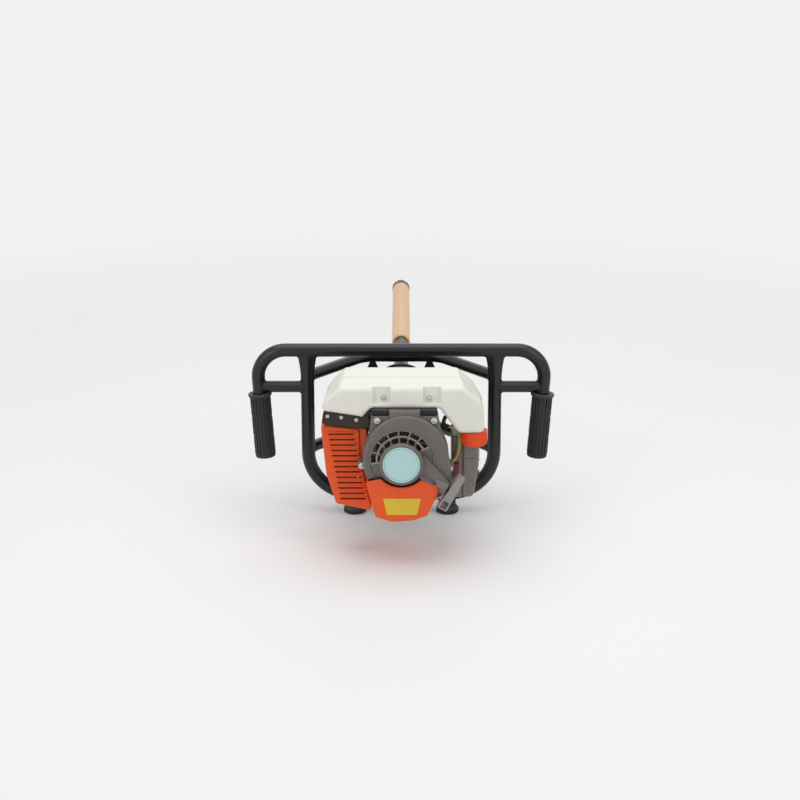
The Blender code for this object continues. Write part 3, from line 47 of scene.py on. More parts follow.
# Places and sizes that several pieces share
FRAME_Y = 260.0
CROSSBAR_Z = 107.0
LEG_TOP_X = 236.3
LEG_LEAN = math.tan(math.radians(4))
POST_X = 153.0
STUB_Z = 45.0
HOOP_Z = -140.0
TUBE_R = 11.0
BRACE_R = 9.5
PULL_TURN = math.radians(-31)
PULL = Vector((math.cos(PULL_TURN), 0, math.sin(PULL_TURN)))
HANDLE = Vector((77.0, 13.5, -48.5))
EYELET = HANDLE - PULL * 7.3
CYLINDER_Y = 98.0
PORT_Z = -68.0
CASE_END_Y = 122.3
INLET_Y = 415.0
FLOOR_Z = -172.0
COVER_X, COVER_R = 7, 66
SHROUD_R = 41.5
SIDE_EARS = ((-61, -12, 6), (74, -16.5, 7))
TOP_EARS = ((-37, 61.5), (50, 61.5))
FILLER = (112.5, 62)
LOUVRES, LOUVRE_PITCH, TOP_LOUVRE_Z, LOUVRE_SLANT = 13, 8.8, 31, 0.17
LID_BOLTS_R, BELL_BOLTS_R, PLATE_SPACING = 53, 45, 48
PLUG_TILT = math.radians(18)
SHARP = math.radians(32)
ORIGIN, UP = (0, 0, 0), (0, 0, 1)


# Shapes

def link(name, data):
    made = bpy.data.objects.new(name, data)
    bpy.context.scene.collection.objects.link(made)
    return made


def from_bm(name, bm, turn=None):
    if turn is not None:
        bm.transform(turn)
    data = bpy.data.meshes.new(name)
    bm.to_mesh(data)
    bm.free()
    return link(name, data)


def aim(origin, direction):
    """The move that brings local Z onto a direction at a place."""
    turn = Vector(direction).normalized().to_track_quat("Z", "Y").to_matrix().to_4x4()
    return Matrix.Translation(origin) @ turn


def settle(made):
    """Turns an object's modifiers into its own mesh."""
    bpy.context.view_layer.update()
    graph = bpy.context.evaluated_depsgraph_get()
    data = bpy.data.meshes.new_from_object(made.evaluated_get(graph), depsgraph=graph)
    made.modifiers.clear()
    made.data = data
    return made


def combine(body, tools, operation):
    for tool in tools:
        step = body.modifiers.new(tool.name, "BOOLEAN")
        step.operation = operation
        step.object = tool
    settle(body)
    for tool in tools:
        bpy.data.objects.remove(tool)
    return body


def cut(body, *tools):
    return combine(body, tools, "DIFFERENCE")


def fuse(body, *tools):
    return combine(body, tools, "UNION")


def gather(name, pieces):
    """Several shapes in one mesh."""
    bm = bmesh.new()
    for piece in pieces:
        settle(piece)
        bm.from_mesh(piece.data)
        bpy.data.objects.remove(piece)
    return from_bm(name, bm)


def bevel(made, width, segments=3):
    soft = made.modifiers.new("edges", "BEVEL")
    soft.width = width
    soft.segments = segments
    soft.limit_method = "ANGLE"
    soft.angle_limit = SHARP
    return settle(made)


def arc(centre, radius, first, last, steps):
    angles = [math.radians(first + (last - first) * i / steps) for i in range(steps + 1)]
    return [(centre[0] + radius * math.cos(a), centre[1] + radius * math.sin(a)) for a in angles]


def rounded(outline, radius, steps=4, closed=True):
    """The outline with its corners turned to arcs, as far as its edges allow."""
    result = []
    last = len(outline) - 1
    for number, corner in enumerate(outline):
        here = Vector(corner)
        back = Vector(outline[number - 1]) - here
        on = Vector(outline[(number + 1) % (last + 1)]) - here
        if (not closed and number in (0, last)) or back.angle(on) > 2.85:
            result.append(tuple(here))
            continue
        half = back.angle(on) / 2
        reach = min(radius / math.tan(half), back.length * 0.45, on.length * 0.45)
        size = reach * math.tan(half)
        middle = here + (back.normalized() + on.normalized()).normalized() * size / math.sin(half)
        start = here + back.normalized() * reach - middle
        end = here + on.normalized() * reach - middle
        first = math.atan2(start.y, start.x)
        sweep_angle = math.atan2(end.y, end.x) - first
        sweep_angle = (sweep_angle + math.pi) % math.tau - math.pi
        for i in range(steps + 1):
            a = first + sweep_angle * i / steps
            result.append((middle.x + size * math.cos(a), middle.y + size * math.sin(a)))
    return result


def grown(outline, distance):
    """The outline with each edge moved outwards by a distance."""
    area = sum(a[0] * b[1] - b[0] * a[1] for a, b in zip(outline, outline[1:] + outline[:1]))
    side = distance if area > 0 else -distance
    result = []
    for number, point in enumerate(outline):
        before, here = Vector(outline[number - 1]), Vector(point)
        after = Vector(outline[(number + 1) % len(outline)])
        one, two = (here - before).normalized(), (after - here).normalized()
        first, second = Vector((one.y, -one.x)), Vector((two.y, -two.x))
        bisector = (first + second).normalized()
        result.append(tuple(here + bisector * (side / bisector.dot(first))))
    return result


def bent_line(corners, radius, steps=12):
    """A line through 3-D corners with its inner corners turned to arcs."""
    corners = [Vector(c) for c in corners]
    points = [corners[0]]
    for before, corner, after in zip(corners, corners[1:], corners[2:]):
        back, on = (before - corner).normalized(), (after - corner).normalized()
        half = back.angle(on) / 2
        reach = radius / math.tan(half)
        centre = corner + (back + on).normalized() * (radius / math.sin(half))
        start = (corner + back * reach - centre).normalized()
        end = (corner + on * reach - centre).normalized()
        for i in range(steps + 1):
            points.append(centre + start.slerp(end, i / steps) * radius)
    points.append(corners[-1])
    return points


def flowing(points, steps):
    """A Catmull-Rom curve through chosen points."""
    points = [Vector(p) for p in points]
    ends = [points[0] * 2 - points[1]] + points + [points[-1] * 2 - points[-2]]
    result = []
    for a, b, c, d in zip(ends, ends[1:], ends[2:], ends[3:]):
        for i in range(steps):
            t = i / steps
            result.append((b * 2 + (c - a) * t + (a * 2 - b * 5 + c * 4 - d) * t * t
                           + (b * 3 - a - c * 3 + d) * t * t * t) / 2)
    result.append(points[-1])
    return result


def lathe(name, profile, origin=(0, 0, 0), direction=(0, 1, 0), sides=96, ring=False, soft=0.7):
    """A profile of (radius, place along the direction), turned, with softened corners."""
    line = rounded(profile, soft, 3, ring) if soft else profile
    bm = bmesh.new()
    rings = []
    for radius, height in line:
        if radius < 0.0001:
            rings.append([bm.verts.new((0, 0, height))])
            continue
        turns = [math.tau * i / sides for i in range(sides)]
        rings.append([bm.verts.new((radius * math.cos(t), radius * math.sin(t), height))
                      for t in turns])
    pairs = list(zip(rings, rings[1:]))
    if ring:
        pairs.append((rings[-1], rings[0]))
    for one, two in pairs:
        for i in range(sides):
            j = (i + 1) % sides
            corners = [one[i % len(one)], one[j % len(one)], two[j % len(two)], two[i % len(two)]]
            corners = list(dict.fromkeys(corners))
            if len(corners) > 2:
                bm.faces.new(corners)
    if not ring:
        for end in (rings[0], rings[-1]):
            if len(end) > 2:
                bm.faces.new(end)
    bmesh.ops.recalc_face_normals(bm, faces=bm.faces)
    return from_bm(name, bm, aim(origin, direction))


def bar(name, start, end, radius, sides=48, soft=0.0):
    """A round bar between two places."""
    start, end = Vector(start), Vector(end)
    length = (end - start).length
    profile = [(0, 0), (radius, 0), (radius, length), (0, length)]
    return lathe(name, profile, start, end - start, sides, soft=soft)


def sweep(name, points, radius, sides=40, swell=None, squeeze=None, side=(0, 1, 0)):
    """A round section along a line, wider or flatter where swell and squeeze say."""
    points = [Vector(p) for p in points]
    even = [1] * len(points)
    bm = bmesh.new()
    rings = []
    across = Vector(side)
    for number, (point, wider, flatter) in enumerate(zip(points, swell or even, squeeze or even)):
        before = points[max(number - 1, 0)]
        after = points[min(number + 1, len(points) - 1)]
        way = (after - before).normalized()
        across = (across - way * across.dot(way)).normalized()
        other = way.cross(across)
        wide, flat = radius * wider, radius * flatter
        rings.append([bm.verts.new(point + across * flat * math.cos(math.tau * i / sides)
                                   + other * wide * math.sin(math.tau * i / sides))
                      for i in range(sides)])
    for one, two in zip(rings, rings[1:]):
        for i in range(sides):
            j = (i + 1) % sides
            bm.faces.new((one[i], one[j], two[j], two[i]))
    bm.faces.new(rings[0])
    bm.faces.new(rings[-1])
    bmesh.ops.recalc_face_normals(bm, faces=bm.faces)
    return from_bm(name, bm)


def slab(name, outline, low, high, across="Y", edge=0.0, segments=3):
    """A flat outline from low to high along one axis, its rims rounded."""
    spot = {"Y": lambda u, v, w: (u, w, v), "Z": lambda u, v, w: (u, v, w),
            "X": lambda u, v, w: (w, u, v)}[across]
    bm = bmesh.new()
    near = [bm.verts.new(spot(u, v, low)) for u, v in outline]
    far = [bm.verts.new(spot(u, v, high)) for u, v in outline]
    bm.faces.new(near)
    bm.faces.new(far)
    for i in range(len(near)):
        j = (i + 1) % len(near)
        bm.faces.new((near[i], near[j], far[j], far[i]))
    bmesh.ops.recalc_face_normals(bm, faces=bm.faces)
    made = from_bm(name, bm)
    return bevel(made, edge, segments) if edge else made


def oblong(low_u, high_u, low_v, high_v):
    return [(low_u, low_v), (high_u, low_v), (high_u, high_v), (low_u, high_v)]


def hexagon(radius):
    return arc((0, 0), radius, 0, 300, 5)


def block(name, x, y, z, edge=0.0, segments=3):
    return slab(name, oblong(*x, *z), *y, "Y", edge, segments)


def port(name, start_x, end_x, radius):
    """A bar along X on the line of the cylinder's ports."""
    return bar(name, (start_x, CYLINDER_Y, PORT_Z), (end_x, CYLINDER_Y, PORT_Z), radius)


# Repeated shapes, with Geometry Nodes

def put(tree, kind, **settings):
    """A node of a kind, with its own settings."""
    node = tree.nodes.new(kind)
    for label, value in settings.items():
        setattr(node, label, value)
    return node


def wire(tree, *wires):
    """Wires, each from a node's socket to another node's."""
    for source, socket, target, to in wires:
        tree.links.new(source.outputs[socket], target.inputs[to])


def new_tree(name, **inputs):
    """A tree that takes a shape, named values and a surface, with its input node."""
    tree = bpy.data.node_groups.new(name, "GeometryNodeTree")
    for label, kind in (("Geometry", "Geometry"), *inputs.items(), ("Surface", "Material")):
        tree.interface.new_socket(label, in_out="INPUT", socket_type="NodeSocket" + kind)
    tree.interface.new_socket("Geometry", in_out="OUTPUT", socket_type="NodeSocketGeometry")
    return tree, put(tree, "NodeGroupInput")


def finish_tree(tree, given, copies):
    """Ends a tree: instances made real, with the surface set."""
    real, paint = put(tree, "GeometryNodeRealizeInstances"), put(tree, "GeometryNodeSetMaterial")
    wire(tree, (copies, 0, real, 0), (real, 0, paint, "Geometry"), (given, "Surface", paint, "Material"),
         (paint, 0, put(tree, "NodeGroupOutput"), 0))
    return tree


def make_round_tree():
    """Copies of a shape round its own Z axis."""
    tree, given = new_tree("copies_round_an_axis", Copies="Int", First="Float", Step="Float")
    points, index = put(tree, "GeometryNodePoints"), put(tree, "GeometryNodeInputIndex")
    turn = put(tree, "ShaderNodeMath", operation="MULTIPLY_ADD")
    euler, copies = put(tree, "ShaderNodeCombineXYZ"), put(tree, "GeometryNodeInstanceOnPoints")
    wire(tree, (given, "Copies", points, "Count"), (index, 0, turn, 0), (given, "Step", turn, 1),
         (given, "First", turn, 2), (turn, 0, euler, 2), (points, 0, copies, "Points"),
         (given, "Geometry", copies, "Instance"), (euler, 0, copies, "Rotation"))
    return finish_tree(tree, given, copies)


def make_row_tree():
    """Copies of a shape in a straight row."""
    tree, given = new_tree("copies_in_a_row", Copies="Int", Step="Vector")
    points, index = put(tree, "GeometryNodePoints"), put(tree, "GeometryNodeInputIndex")
    move = put(tree, "ShaderNodeVectorMath", operation="SCALE")
    copies = put(tree, "GeometryNodeInstanceOnPoints")
    wire(tree, (given, "Copies", points, "Count"), (given, "Step", move, 0), (index, 0, move, "Scale"),
         (move, 0, points, "Position"), (points, 0, copies, "Points"),
         (given, "Geometry", copies, "Instance"))
    return finish_tree(tree, given, copies)


def make_fastener_tree():
    """A fastener at each point, along the point's way, turned by chance."""
    tree, given = new_tree("fasteners_on_points", Fastener="Object", Seed="Int")
    shape, copies = put(tree, "GeometryNodeObjectInfo"), put(tree, "GeometryNodeInstanceOnPoints")
    way = put(tree, "GeometryNodeInputNamedAttribute", data_type="FLOAT_VECTOR")
    way.inputs["Name"].default_value = "way"
    line_up = put(tree, "FunctionNodeAlignRotationToVector", axis="Z")
    chance = put(tree, "FunctionNodeRandomValue", data_type="FLOAT")
    chance.inputs[3].default_value = math.tau
    spin, turned = put(tree, "ShaderNodeCombineXYZ"), put(tree, "GeometryNodeRotateInstances")
    wire(tree, (given, "Fastener", shape, 0), (way, "Attribute", line_up, "Vector"),
         (given, "Geometry", copies, "Points"), (shape, "Geometry", copies, "Instance"),
         (line_up, 0, copies, "Rotation"), (given, "Seed", chance, "Seed"), (chance, 1, spin, 2),
         (copies, 0, turned, "Instances"), (spin, 0, turned, "Rotation"))
    return finish_tree(tree, given, turned)


def make_bead_tree():
    """Overlapping ripples along a line, as a weld leaves them."""
    tree, given = new_tree("weld_bead", Pitch="Float", Size="Float", Seed="Int")
    curve, tangent = put(tree, "GeometryNodeMeshToCurve"), put(tree, "GeometryNodeInputTangent")
    even, drop = put(tree, "GeometryNodeResampleCurve", mode="LENGTH"), put(tree, "GeometryNodeMeshUVSphere")
    line_up = put(tree, "FunctionNodeAlignRotationToVector", axis="Z")
    chance = put(tree, "FunctionNodeRandomValue", data_type="FLOAT")
    for node, label, value in ((drop, "Segments", 12), (drop, "Rings", 7), (chance, 2, 0.88),
                               (chance, 3, 1.1)):
        node.inputs[label].default_value = value
    copies = put(tree, "GeometryNodeInstanceOnPoints")
    wire(tree, (given, "Geometry", curve, 0), (curve, 0, even, "Curve"), (given, "Pitch", even, "Length"),
         (given, "Size", drop, "Radius"), (tangent, 0, line_up, "Vector"), (given, "Seed", chance, "Seed"),
         (even, 0, copies, "Points"), (drop, 0, copies, "Instance"), (line_up, 0, copies, "Rotation"),
         (chance, 1, copies, "Scale"))
    return finish_tree(tree, given, copies)


ROUND_TREE = make_round_tree()
ROW_TREE = make_row_tree()
FASTENER_TREE = make_fastener_tree()
BEAD_TREE = make_bead_tree()


def grow(made, tree, **values):
    """Runs a tree on an object, with its named inputs, and keeps the plain result."""
    step = made.modifiers.new(tree.name, "NODES")
    step.node_group = tree
    for item in tree.interface.items_tree:
        if item.in_out == "INPUT" and item.name in values:
            step[item.identifier] = values[item.name]
    return settle(made)


def round_copies(made, copies, origin=(0, 0, 0), direction=(0, 1, 0), first=0.0, step=None):
    """Copies round an axis of a shape that is made round the world's Z."""
    turn = math.radians(360 / copies if step is None else step)
    grow(made, ROUND_TREE, Copies=copies, First=math.radians(first), Step=turn)
    made.data.transform(aim(origin, direction))
    return made


def row_copies(made, copies, step):
    return grow(made, ROW_TREE, Copies=copies, Step=step)


# Finishes

def linear(rgb):
    """A colour given as 0 to 255 in sRGB, in the renderer's linear values."""
    values = [c / 255 for c in rgb]
    return tuple(v / 12.92 if v <= 0.04045 else ((v + 0.055) / 1.055) ** 2.4 for v in values)


def new_group(name, output, **inputs):
    """A shader group that reads Object coordinates, with its input and output nodes."""
    tree = bpy.data.node_groups.new(name, "ShaderNodeTree")
    for label, value in inputs.items():
        socket = tree.interface.new_socket(label, in_out="INPUT", socket_type="NodeSocketFloat")
        socket.default_value = value
    tree.interface.new_socket(output, in_out="OUTPUT", socket_type="NodeSocketFloat")
    return tree, put(tree, "NodeGroupInput"), put(tree, "NodeGroupOutput")


def add_noise(tree, source, socket, detail):
    """Noise on the piece's own coordinates, its scale taken from a socket."""
    noise = put(tree, "ShaderNodeTexNoise")
    noise.inputs["Detail"].default_value = detail
    spot = put(tree, "ShaderNodeTexCoord")
    wire(tree, (spot, "Object", noise, "Vector"), (source, socket, noise, "Scale"))
    return noise


def add_range(tree, source, socket, low, high, to_low, to_high):
    spread = put(tree, "ShaderNodeMapRange")
    for label, value in (("From Min", low), ("From Max", high), ("To Min", to_low), ("To Max", to_high)):
        spread.inputs[label].default_value = value
    wire(tree, (source, socket, spread, "Value"))
    return spread


def add_math(tree, operation, *values):
    """A sum of numbers, nodes, or nodes with a named socket."""
    node = put(tree, "ShaderNodeMath", operation=operation)
    for number, value in enumerate(values):
        if isinstance(value, (int, float)):
            node.inputs[number].default_value = value
        else:
            wire(tree, (*(value if isinstance(value, tuple) else (value, 0)), node, number))
    return node


def make_mottle():
    """Slow changes of tone, as dyes, castings and handling leave them."""
    tree, given, out = new_group("mottle", "Tone", Scale=30, Spread=0.1)
    coarse = add_noise(tree, given, "Scale", 3)
    fine = add_noise(tree, add_math(tree, "MULTIPLY", (given, "Scale"), 7.0), 0, 5)
    both = add_math(tree, "ADD", (coarse, "Fac"), (fine, "Fac"))
    centred = add_math(tree, "SUBTRACT", both, 1.0)
    scaled = add_math(tree, "MULTIPLY", centred, (given, "Spread"))
    tone = add_math(tree, "ADD", add_math(tree, "MULTIPLY", scaled, 4.0), 1.0)
    wire(tree, (tone, 0, out, "Tone"))
    return tree


def make_grain():
    """Fine relief: round pits over a softer ripple."""
    tree, given, out = new_group("grain", "Height", Scale=1500, Pits=0.5)
    ripple = add_noise(tree, given, "Scale", 4)
    pits, spot = put(tree, "ShaderNodeTexVoronoi"), put(tree, "ShaderNodeTexCoord")
    wire(tree, (spot, "Object", pits, "Vector"), (given, "Scale", pits, "Scale"))
    weighted = add_math(tree, "MULTIPLY", (pits, "Distance"), (given, "Pits"))
    wire(tree, (add_math(tree, "ADD", (ripple, "Fac"), weighted), 0, out, "Height"))
    return tree


def finish_mask(tree, out, first, second):
    """Ends a group with a mask of two values, kept between 0 and 1."""
    mask = add_math(tree, "MULTIPLY", first, second)
    mask.use_clamp = True
    wire(tree, (mask, 0, out, "Mask"))
    return tree


def make_edge_wear():
    """A mask along outer edges, broken up by noise."""
    tree, given, out = new_group("edge_wear", "Mask", Radius=0.001, Reach=3.0, Scale=120)
    soft, plain = put(tree, "ShaderNodeBevel", samples=4), put(tree, "ShaderNodeNewGeometry")
    same = put(tree, "ShaderNodeVectorMath", operation="DOT_PRODUCT")
    wire(tree, (given, "Radius", soft, "Radius"), (soft, 0, same, 0), (plain, "Normal", same, 1))
    apart = add_math(tree, "SUBTRACT", 1.0, (same, "Value"))
    strong = add_math(tree, "MULTIPLY", apart, (given, "Reach"))
    noise = add_noise(tree, given, "Scale", 6)
    return finish_mask(tree, out, strong, add_range(tree, noise, "Fac", 0.42, 0.62, 0.0, 1.0))


def make_dust():
    """Dust lying on what faces up, thicker in patches."""
    tree, given, out = new_group("lying_dust", "Mask", Amount=0.2, Scale=60)
    plain, parts = put(tree, "ShaderNodeNewGeometry"), put(tree, "ShaderNodeSeparateXYZ")
    wire(tree, (plain, "Normal", parts, 0))
    up = add_range(tree, parts, "Z", 0.2, 1.0, 0.0, 1.0)
    noise = add_noise(tree, given, "Scale", 6)
    patchy = add_range(tree, noise, "Fac", 0.3, 0.7, 0.2, 1.0)
    return finish_mask(tree, out, add_math(tree, "MULTIPLY", up, patchy), (given, "Amount"))


def make_tool_lines():
    """Fine lines left by a tool, long along two axes and close along the third."""
    tree, given, out = new_group("tool_lines", "Height", Close=900, Long=12)
    spot, scale = put(tree, "ShaderNodeTexCoord"), put(tree, "ShaderNodeCombineXYZ")
    stretched = put(tree, "ShaderNodeVectorMath", operation="MULTIPLY")
    noise = put(tree, "ShaderNodeTexNoise")
    noise.inputs["Scale"].default_value = 1.0
    noise.inputs["Detail"].default_value = 3.0
    wire(tree, (given, "Long", scale, 0), (given, "Close", scale, 1), (given, "Long", scale, 2),
         (spot, "Object", stretched, 0), (scale, 0, stretched, 1), (stretched, 0, noise, "Vector"),
         (noise, "Fac", out, "Height"))
    return tree


MOTTLE = make_mottle()
GRAIN = make_grain()
EDGE_WEAR = make_edge_wear()
LYING_DUST = make_dust()
TOOL_LINES = make_tool_lines()


def use(tree, group, **values):
    node = put(tree, "ShaderNodeGroup", node_tree=group)
    for label, value in values.items():
        node.inputs[label].default_value = value
    return node


def blend_colour(tree, mask, under, over):
    """A linked colour, covered by another where the mask says."""
    mix = put(tree, "ShaderNodeMix", data_type="RGBA")
    wire(tree, (mask, 0, mix, "Factor"))
    tree.links.new(under, mix.inputs[6])
    mix.inputs[7].default_value = (*linear(over), 1)
    return mix.outputs[2]


def blend_value(tree, mask, under, over):
    mix = put(tree, "ShaderNodeMix")
    wire(tree, (mask, 0, mix, "Factor"))
    tree.links.new(under, mix.inputs[2])
    mix.inputs[3].default_value = over
    return mix.outputs[0]


def surface(name, colour, roughness, metallic=0.0, tone=(25, 0.05), grain=(1600, 0.5, 0.02), wear=None,
            dust=0.0, lines=None, coat=0.0, sheen=0.0, soft_light=0.0, rough_spread=0.1):
    """A finish: its colour and gloss vary, its relief is fine, and its edges may wear."""
    made = bpy.data.materials.new(name)
    made.use_nodes = True
    tree = made.node_tree
    shader = tree.nodes["Principled BSDF"]
    mottle = use(tree, MOTTLE, Scale=tone[0], Spread=tone[1])
    paint = put(tree, "ShaderNodeHueSaturation")
    paint.inputs["Color"].default_value = (*linear(colour), 1)
    wire(tree, (mottle, 0, paint, "Value"))
    dull = add_range(tree, mottle, 0, 1 - tone[1] * 2, 1 + tone[1] * 2,
                     roughness - rough_spread / 2, roughness + rough_spread / 2)
    shade, gloss, metal = paint.outputs[0], dull.outputs[0], None
    if wear:
        radius, reach, bare, bare_rough, bare_metal = wear
        mask = use(tree, EDGE_WEAR, Radius=radius, Reach=reach, Scale=140)
        shade = blend_colour(tree, mask, shade, bare)
        gloss = blend_value(tree, mask, gloss, bare_rough)
        if bare_metal != metallic:
            metal = add_range(tree, mask, 0, 0.0, 1.0, metallic, bare_metal).outputs[0]
    if dust:
        lying = use(tree, LYING_DUST, Amount=dust, Scale=50)
        shade = blend_colour(tree, lying, shade, (170, 162, 150))
        gloss = blend_value(tree, lying, gloss, 0.85)
    relief = use(tree, GRAIN, Scale=grain[0], Pits=grain[1])
    height = relief.outputs[0]
    if lines:
        marks = use(tree, TOOL_LINES, Close=lines[0], Long=lines[1])
        height = add_math(tree, "ADD", relief, marks).outputs[0]
    bump = put(tree, "ShaderNodeBump")
    bump.inputs["Strength"].default_value = 1.0
    bump.inputs["Distance"].default_value = grain[2] * 0.001
    tree.links.new(height, bump.inputs["Height"])
    for label, socket in (("Base Color", shade), ("Roughness", gloss), ("Metallic", metal),
                          ("Normal", bump.outputs[0])):
        if socket is not None:
            tree.links.new(socket, shader.inputs[label])
    plain = {"Metallic": metallic, "Coat Weight": coat, "Coat Roughness": 0.15, "Sheen Weight": sheen}
    if soft_light:
        plain.update({"Subsurface Weight": soft_light, "Subsurface Radius": (0.006, 0.006, 0.005),
                      "Subsurface Scale": 1.0})
    for label, value in plain.items():
        shader.inputs[label].default_value = value
    return made


BARE_STEEL = (150, 148, 145)
FRAME_PAINT = surface("frame_paint", (13, 13, 15), 0.3, tone=(18, 0.08),
                      grain=(900, 0.3, 0.03), wear=(0.0012, 2.2, (70, 70, 70), 0.35, 0.0))
GEARBOX_PAINT = surface("gearbox_paint", (34, 34, 36), 0.45, tone=(22, 0.1),
                        grain=(700, 0.5, 0.06), wear=(0.0012, 2.5, (110, 108, 104), 0.35, 0.4), dust=0.12)
GRIP_RUBBER = surface("grip_rubber", (34, 34, 35), 0.62, tone=(40, 0.1),
                      grain=(2200, 0.8, 0.03), wear=(0.0008, 1.2, (62, 62, 62), 0.7, 0.0),
                      dust=0.15, sheen=0.1)
FOOT_RUBBER = surface("foot_rubber", (30, 30, 30), 0.72, tone=(50, 0.12),
                      grain=(1800, 0.8, 0.04), dust=0.25)
ORANGE_PLASTIC = surface("orange_plastic", (228, 79, 6), 0.4, tone=(14, 0.05),
                         grain=(2600, 0.6, 0.012), wear=(0.0006, 1.5, (238, 118, 44), 0.45, 0.0), dust=0.02)
CAP_PLASTIC = surface("cap_plastic", (232, 72, 2), 0.5, tone=(30, 0.05),
                      grain=(2600, 0.6, 0.015), wear=(0.0006, 1.5, (238, 110, 40), 0.5, 0.0), dust=0.02)
COVER_GREY = surface("cover_grey", (104, 98, 93), 0.36, tone=(16, 0.06),
                     grain=(2200, 0.7, 0.016), wear=(0.0006, 1.6, (150, 145, 140), 0.45, 0.0), dust=0.08)
TANK_WHITE = surface("tank_white", (227, 226, 216), 0.4, tone=(12, 0.015),
                     grain=(300, 0.2, 0.03), soft_light=0.25, rough_spread=0.12)
LID_GREY = surface("lid_grey", (120, 114, 110), 0.36, tone=(16, 0.06),
                   grain=(2200, 0.7, 0.016), wear=(0.0006, 1.6, (160, 155, 150), 0.45, 0.0), dust=0.08)
GRILLE_GREY = surface("grille_grey", (150, 142, 135), 0.4, tone=(30, 0.06),
                      grain=(2200, 0.7, 0.016), wear=(0.0006, 1.8, (186, 178, 170), 0.45, 0.0), dust=0.05)
HANDLE_GREY = surface("handle_grey", (142, 138, 134), 0.4, tone=(30, 0.06),
                      grain=(2000, 0.7, 0.02), wear=(0.0008, 2.0, (196, 192, 188), 0.5, 0.0), dust=0.05)
BLACK_MOULDING = surface("black_moulding", (34, 33, 33), 0.5, tone=(30, 0.1),
                         grain=(1800, 0.7, 0.02), wear=(0.0006, 1.4, (80, 80, 80), 0.55, 0.0), dust=0.1)
HEATED_PAINT = surface("heated_paint", (44, 35, 26), 0.5, 0.2, tone=(60, 0.14),
                       grain=(900, 0.6, 0.04), wear=(0.0008, 2.0, (128, 118, 106), 0.4, 0.5), dust=0.06)
LEAD_RUBBER = surface("lead_rubber", (28, 28, 28), 0.55, tone=(60, 0.1),
                      grain=(2500, 0.5, 0.015))
CAST_ALLOY = surface("cast_alloy", (168, 168, 165), 0.42, 0.92, tone=(35, 0.1),
                     grain=(650, 0.8, 0.09), wear=(0.0008, 1.4, (215, 215, 212), 0.28, 0.92), dust=0.12)
MACHINED_STEEL = surface("machined_steel", (172, 172, 172), 0.27, 1.0, tone=(30, 0.06),
                         grain=(2600, 0.2, 0.006), lines=(1400, 20), rough_spread=0.14)
SCREW_STEEL = surface("screw_steel", (190, 190, 186), 0.25, 1.0, tone=(300, 0.06),
                      grain=(3500, 0.3, 0.008))
BLACK_BOLTS = surface("black_bolts", (42, 42, 44), 0.35, 0.8, tone=(200, 0.1),
                      grain=(3500, 0.4, 0.01), wear=(0.0005, 2.0, BARE_STEEL, 0.3, 0.9))
BLACKED_STEEL = surface("blacked_steel", (84, 82, 80), 0.4, 0.95, tone=(30, 0.12),
                        grain=(1400, 0.4, 0.02), lines=(1100, 16),
                        wear=(0.001, 2.0, BARE_STEEL, 0.28, 0.95), dust=0.08)
BARREL_TAN = surface("barrel_tan", (212, 169, 117), 0.4, tone=(20, 0.05),
                     grain=(1300, 0.3, 0.015), lines=(420, 10),
                     wear=(0.0006, 2.0, (250, 228, 200), 0.35, 0.0), coat=0.2)
TURNED_BRASS = surface("turned_brass", (198, 158, 92), 0.28, 1.0, tone=(60, 0.08),
                       grain=(2400, 0.3, 0.008), lines=(1500, 20))
RED_MOULDING = surface("red_moulding", (120, 12, 38), 0.35, tone=(60, 0.06),
                       grain=(2400, 0.4, 0.012), coat=0.1)
PLUG_CERAMIC = surface("plug_ceramic", (232, 230, 224), 0.15, tone=(40, 0.02),
                       grain=(900, 0.2, 0.006), coat=0.4)
FILTER_FOAM = surface("filter_foam", (120, 112, 70), 0.9, tone=(200, 0.15), grain=(700, 2.0, 0.5))
ROPE_BRAID = surface("rope_braid", (40, 40, 42), 0.8, tone=(400, 0.2),
                     grain=(1300, 1.5, 0.35), sheen=0.3)
PRINTED_YELLOW = surface("printed_yellow", (216, 182, 30), 0.4, tone=(20, 0.03),
                         grain=(1500, 0.3, 0.008), coat=0.3)
FLYWHEEL_ALLOY = surface("flywheel_alloy", (96, 95, 92), 0.5, 0.85, tone=(40, 0.1),
                         grain=(900, 0.6, 0.06))


def make_hose_finish():
    """A clear fuel line, tinted yellow, with fuel's sheen inside."""
    made = surface("fuel_line", (206, 186, 70), 0.16, tone=(80, 0.06), grain=(800, 0.2, 0.008),
                   coat=0.3)
    shader = made.node_tree.nodes["Principled BSDF"]
    shader.inputs["Transmission Weight"].default_value = 0.35
    shader.inputs["IOR"].default_value = 1.42
    return made


def make_label_finish():
    """Pale film with a thin printed ring near its rim, otherwise bare."""
    made = surface("label_film", (172, 208, 208), 0.3, tone=(30, 0.02),
                   grain=(1500, 0.2, 0.006), coat=0.35)
    tree = made.node_tree
    shader = tree.nodes["Principled BSDF"]
    spot, centre = put(tree, "ShaderNodeTexCoord"), put(tree, "ShaderNodeVectorMath", operation="SUBTRACT")
    flat = put(tree, "ShaderNodeVectorMath", operation="MULTIPLY")
    size = put(tree, "ShaderNodeVectorMath", operation="LENGTH")
    centre.inputs[1].default_value = RIG @ Vector((0, 0, 0))
    flat.inputs[1].default_value = (1, 0, 1)
    wire(tree, (spot, "Object", centre, 0), (centre, 0, flat, 0), (flat, 0, size, 0))
    away = add_math(tree, "SUBTRACT", (size, "Value"), 0.0258)
    ring = add_math(tree, "LESS_THAN", add_math(tree, "ABSOLUTE", away), 0.00035)
    colour = shader.inputs["Base Color"]
    tree.links.new(blend_colour(tree, ring, colour.links[0].from_socket, (96, 150, 160)), colour)
    return made


FUEL_LINE = make_hose_finish()
LABEL_FILM = make_label_finish()


# Setting pieces in

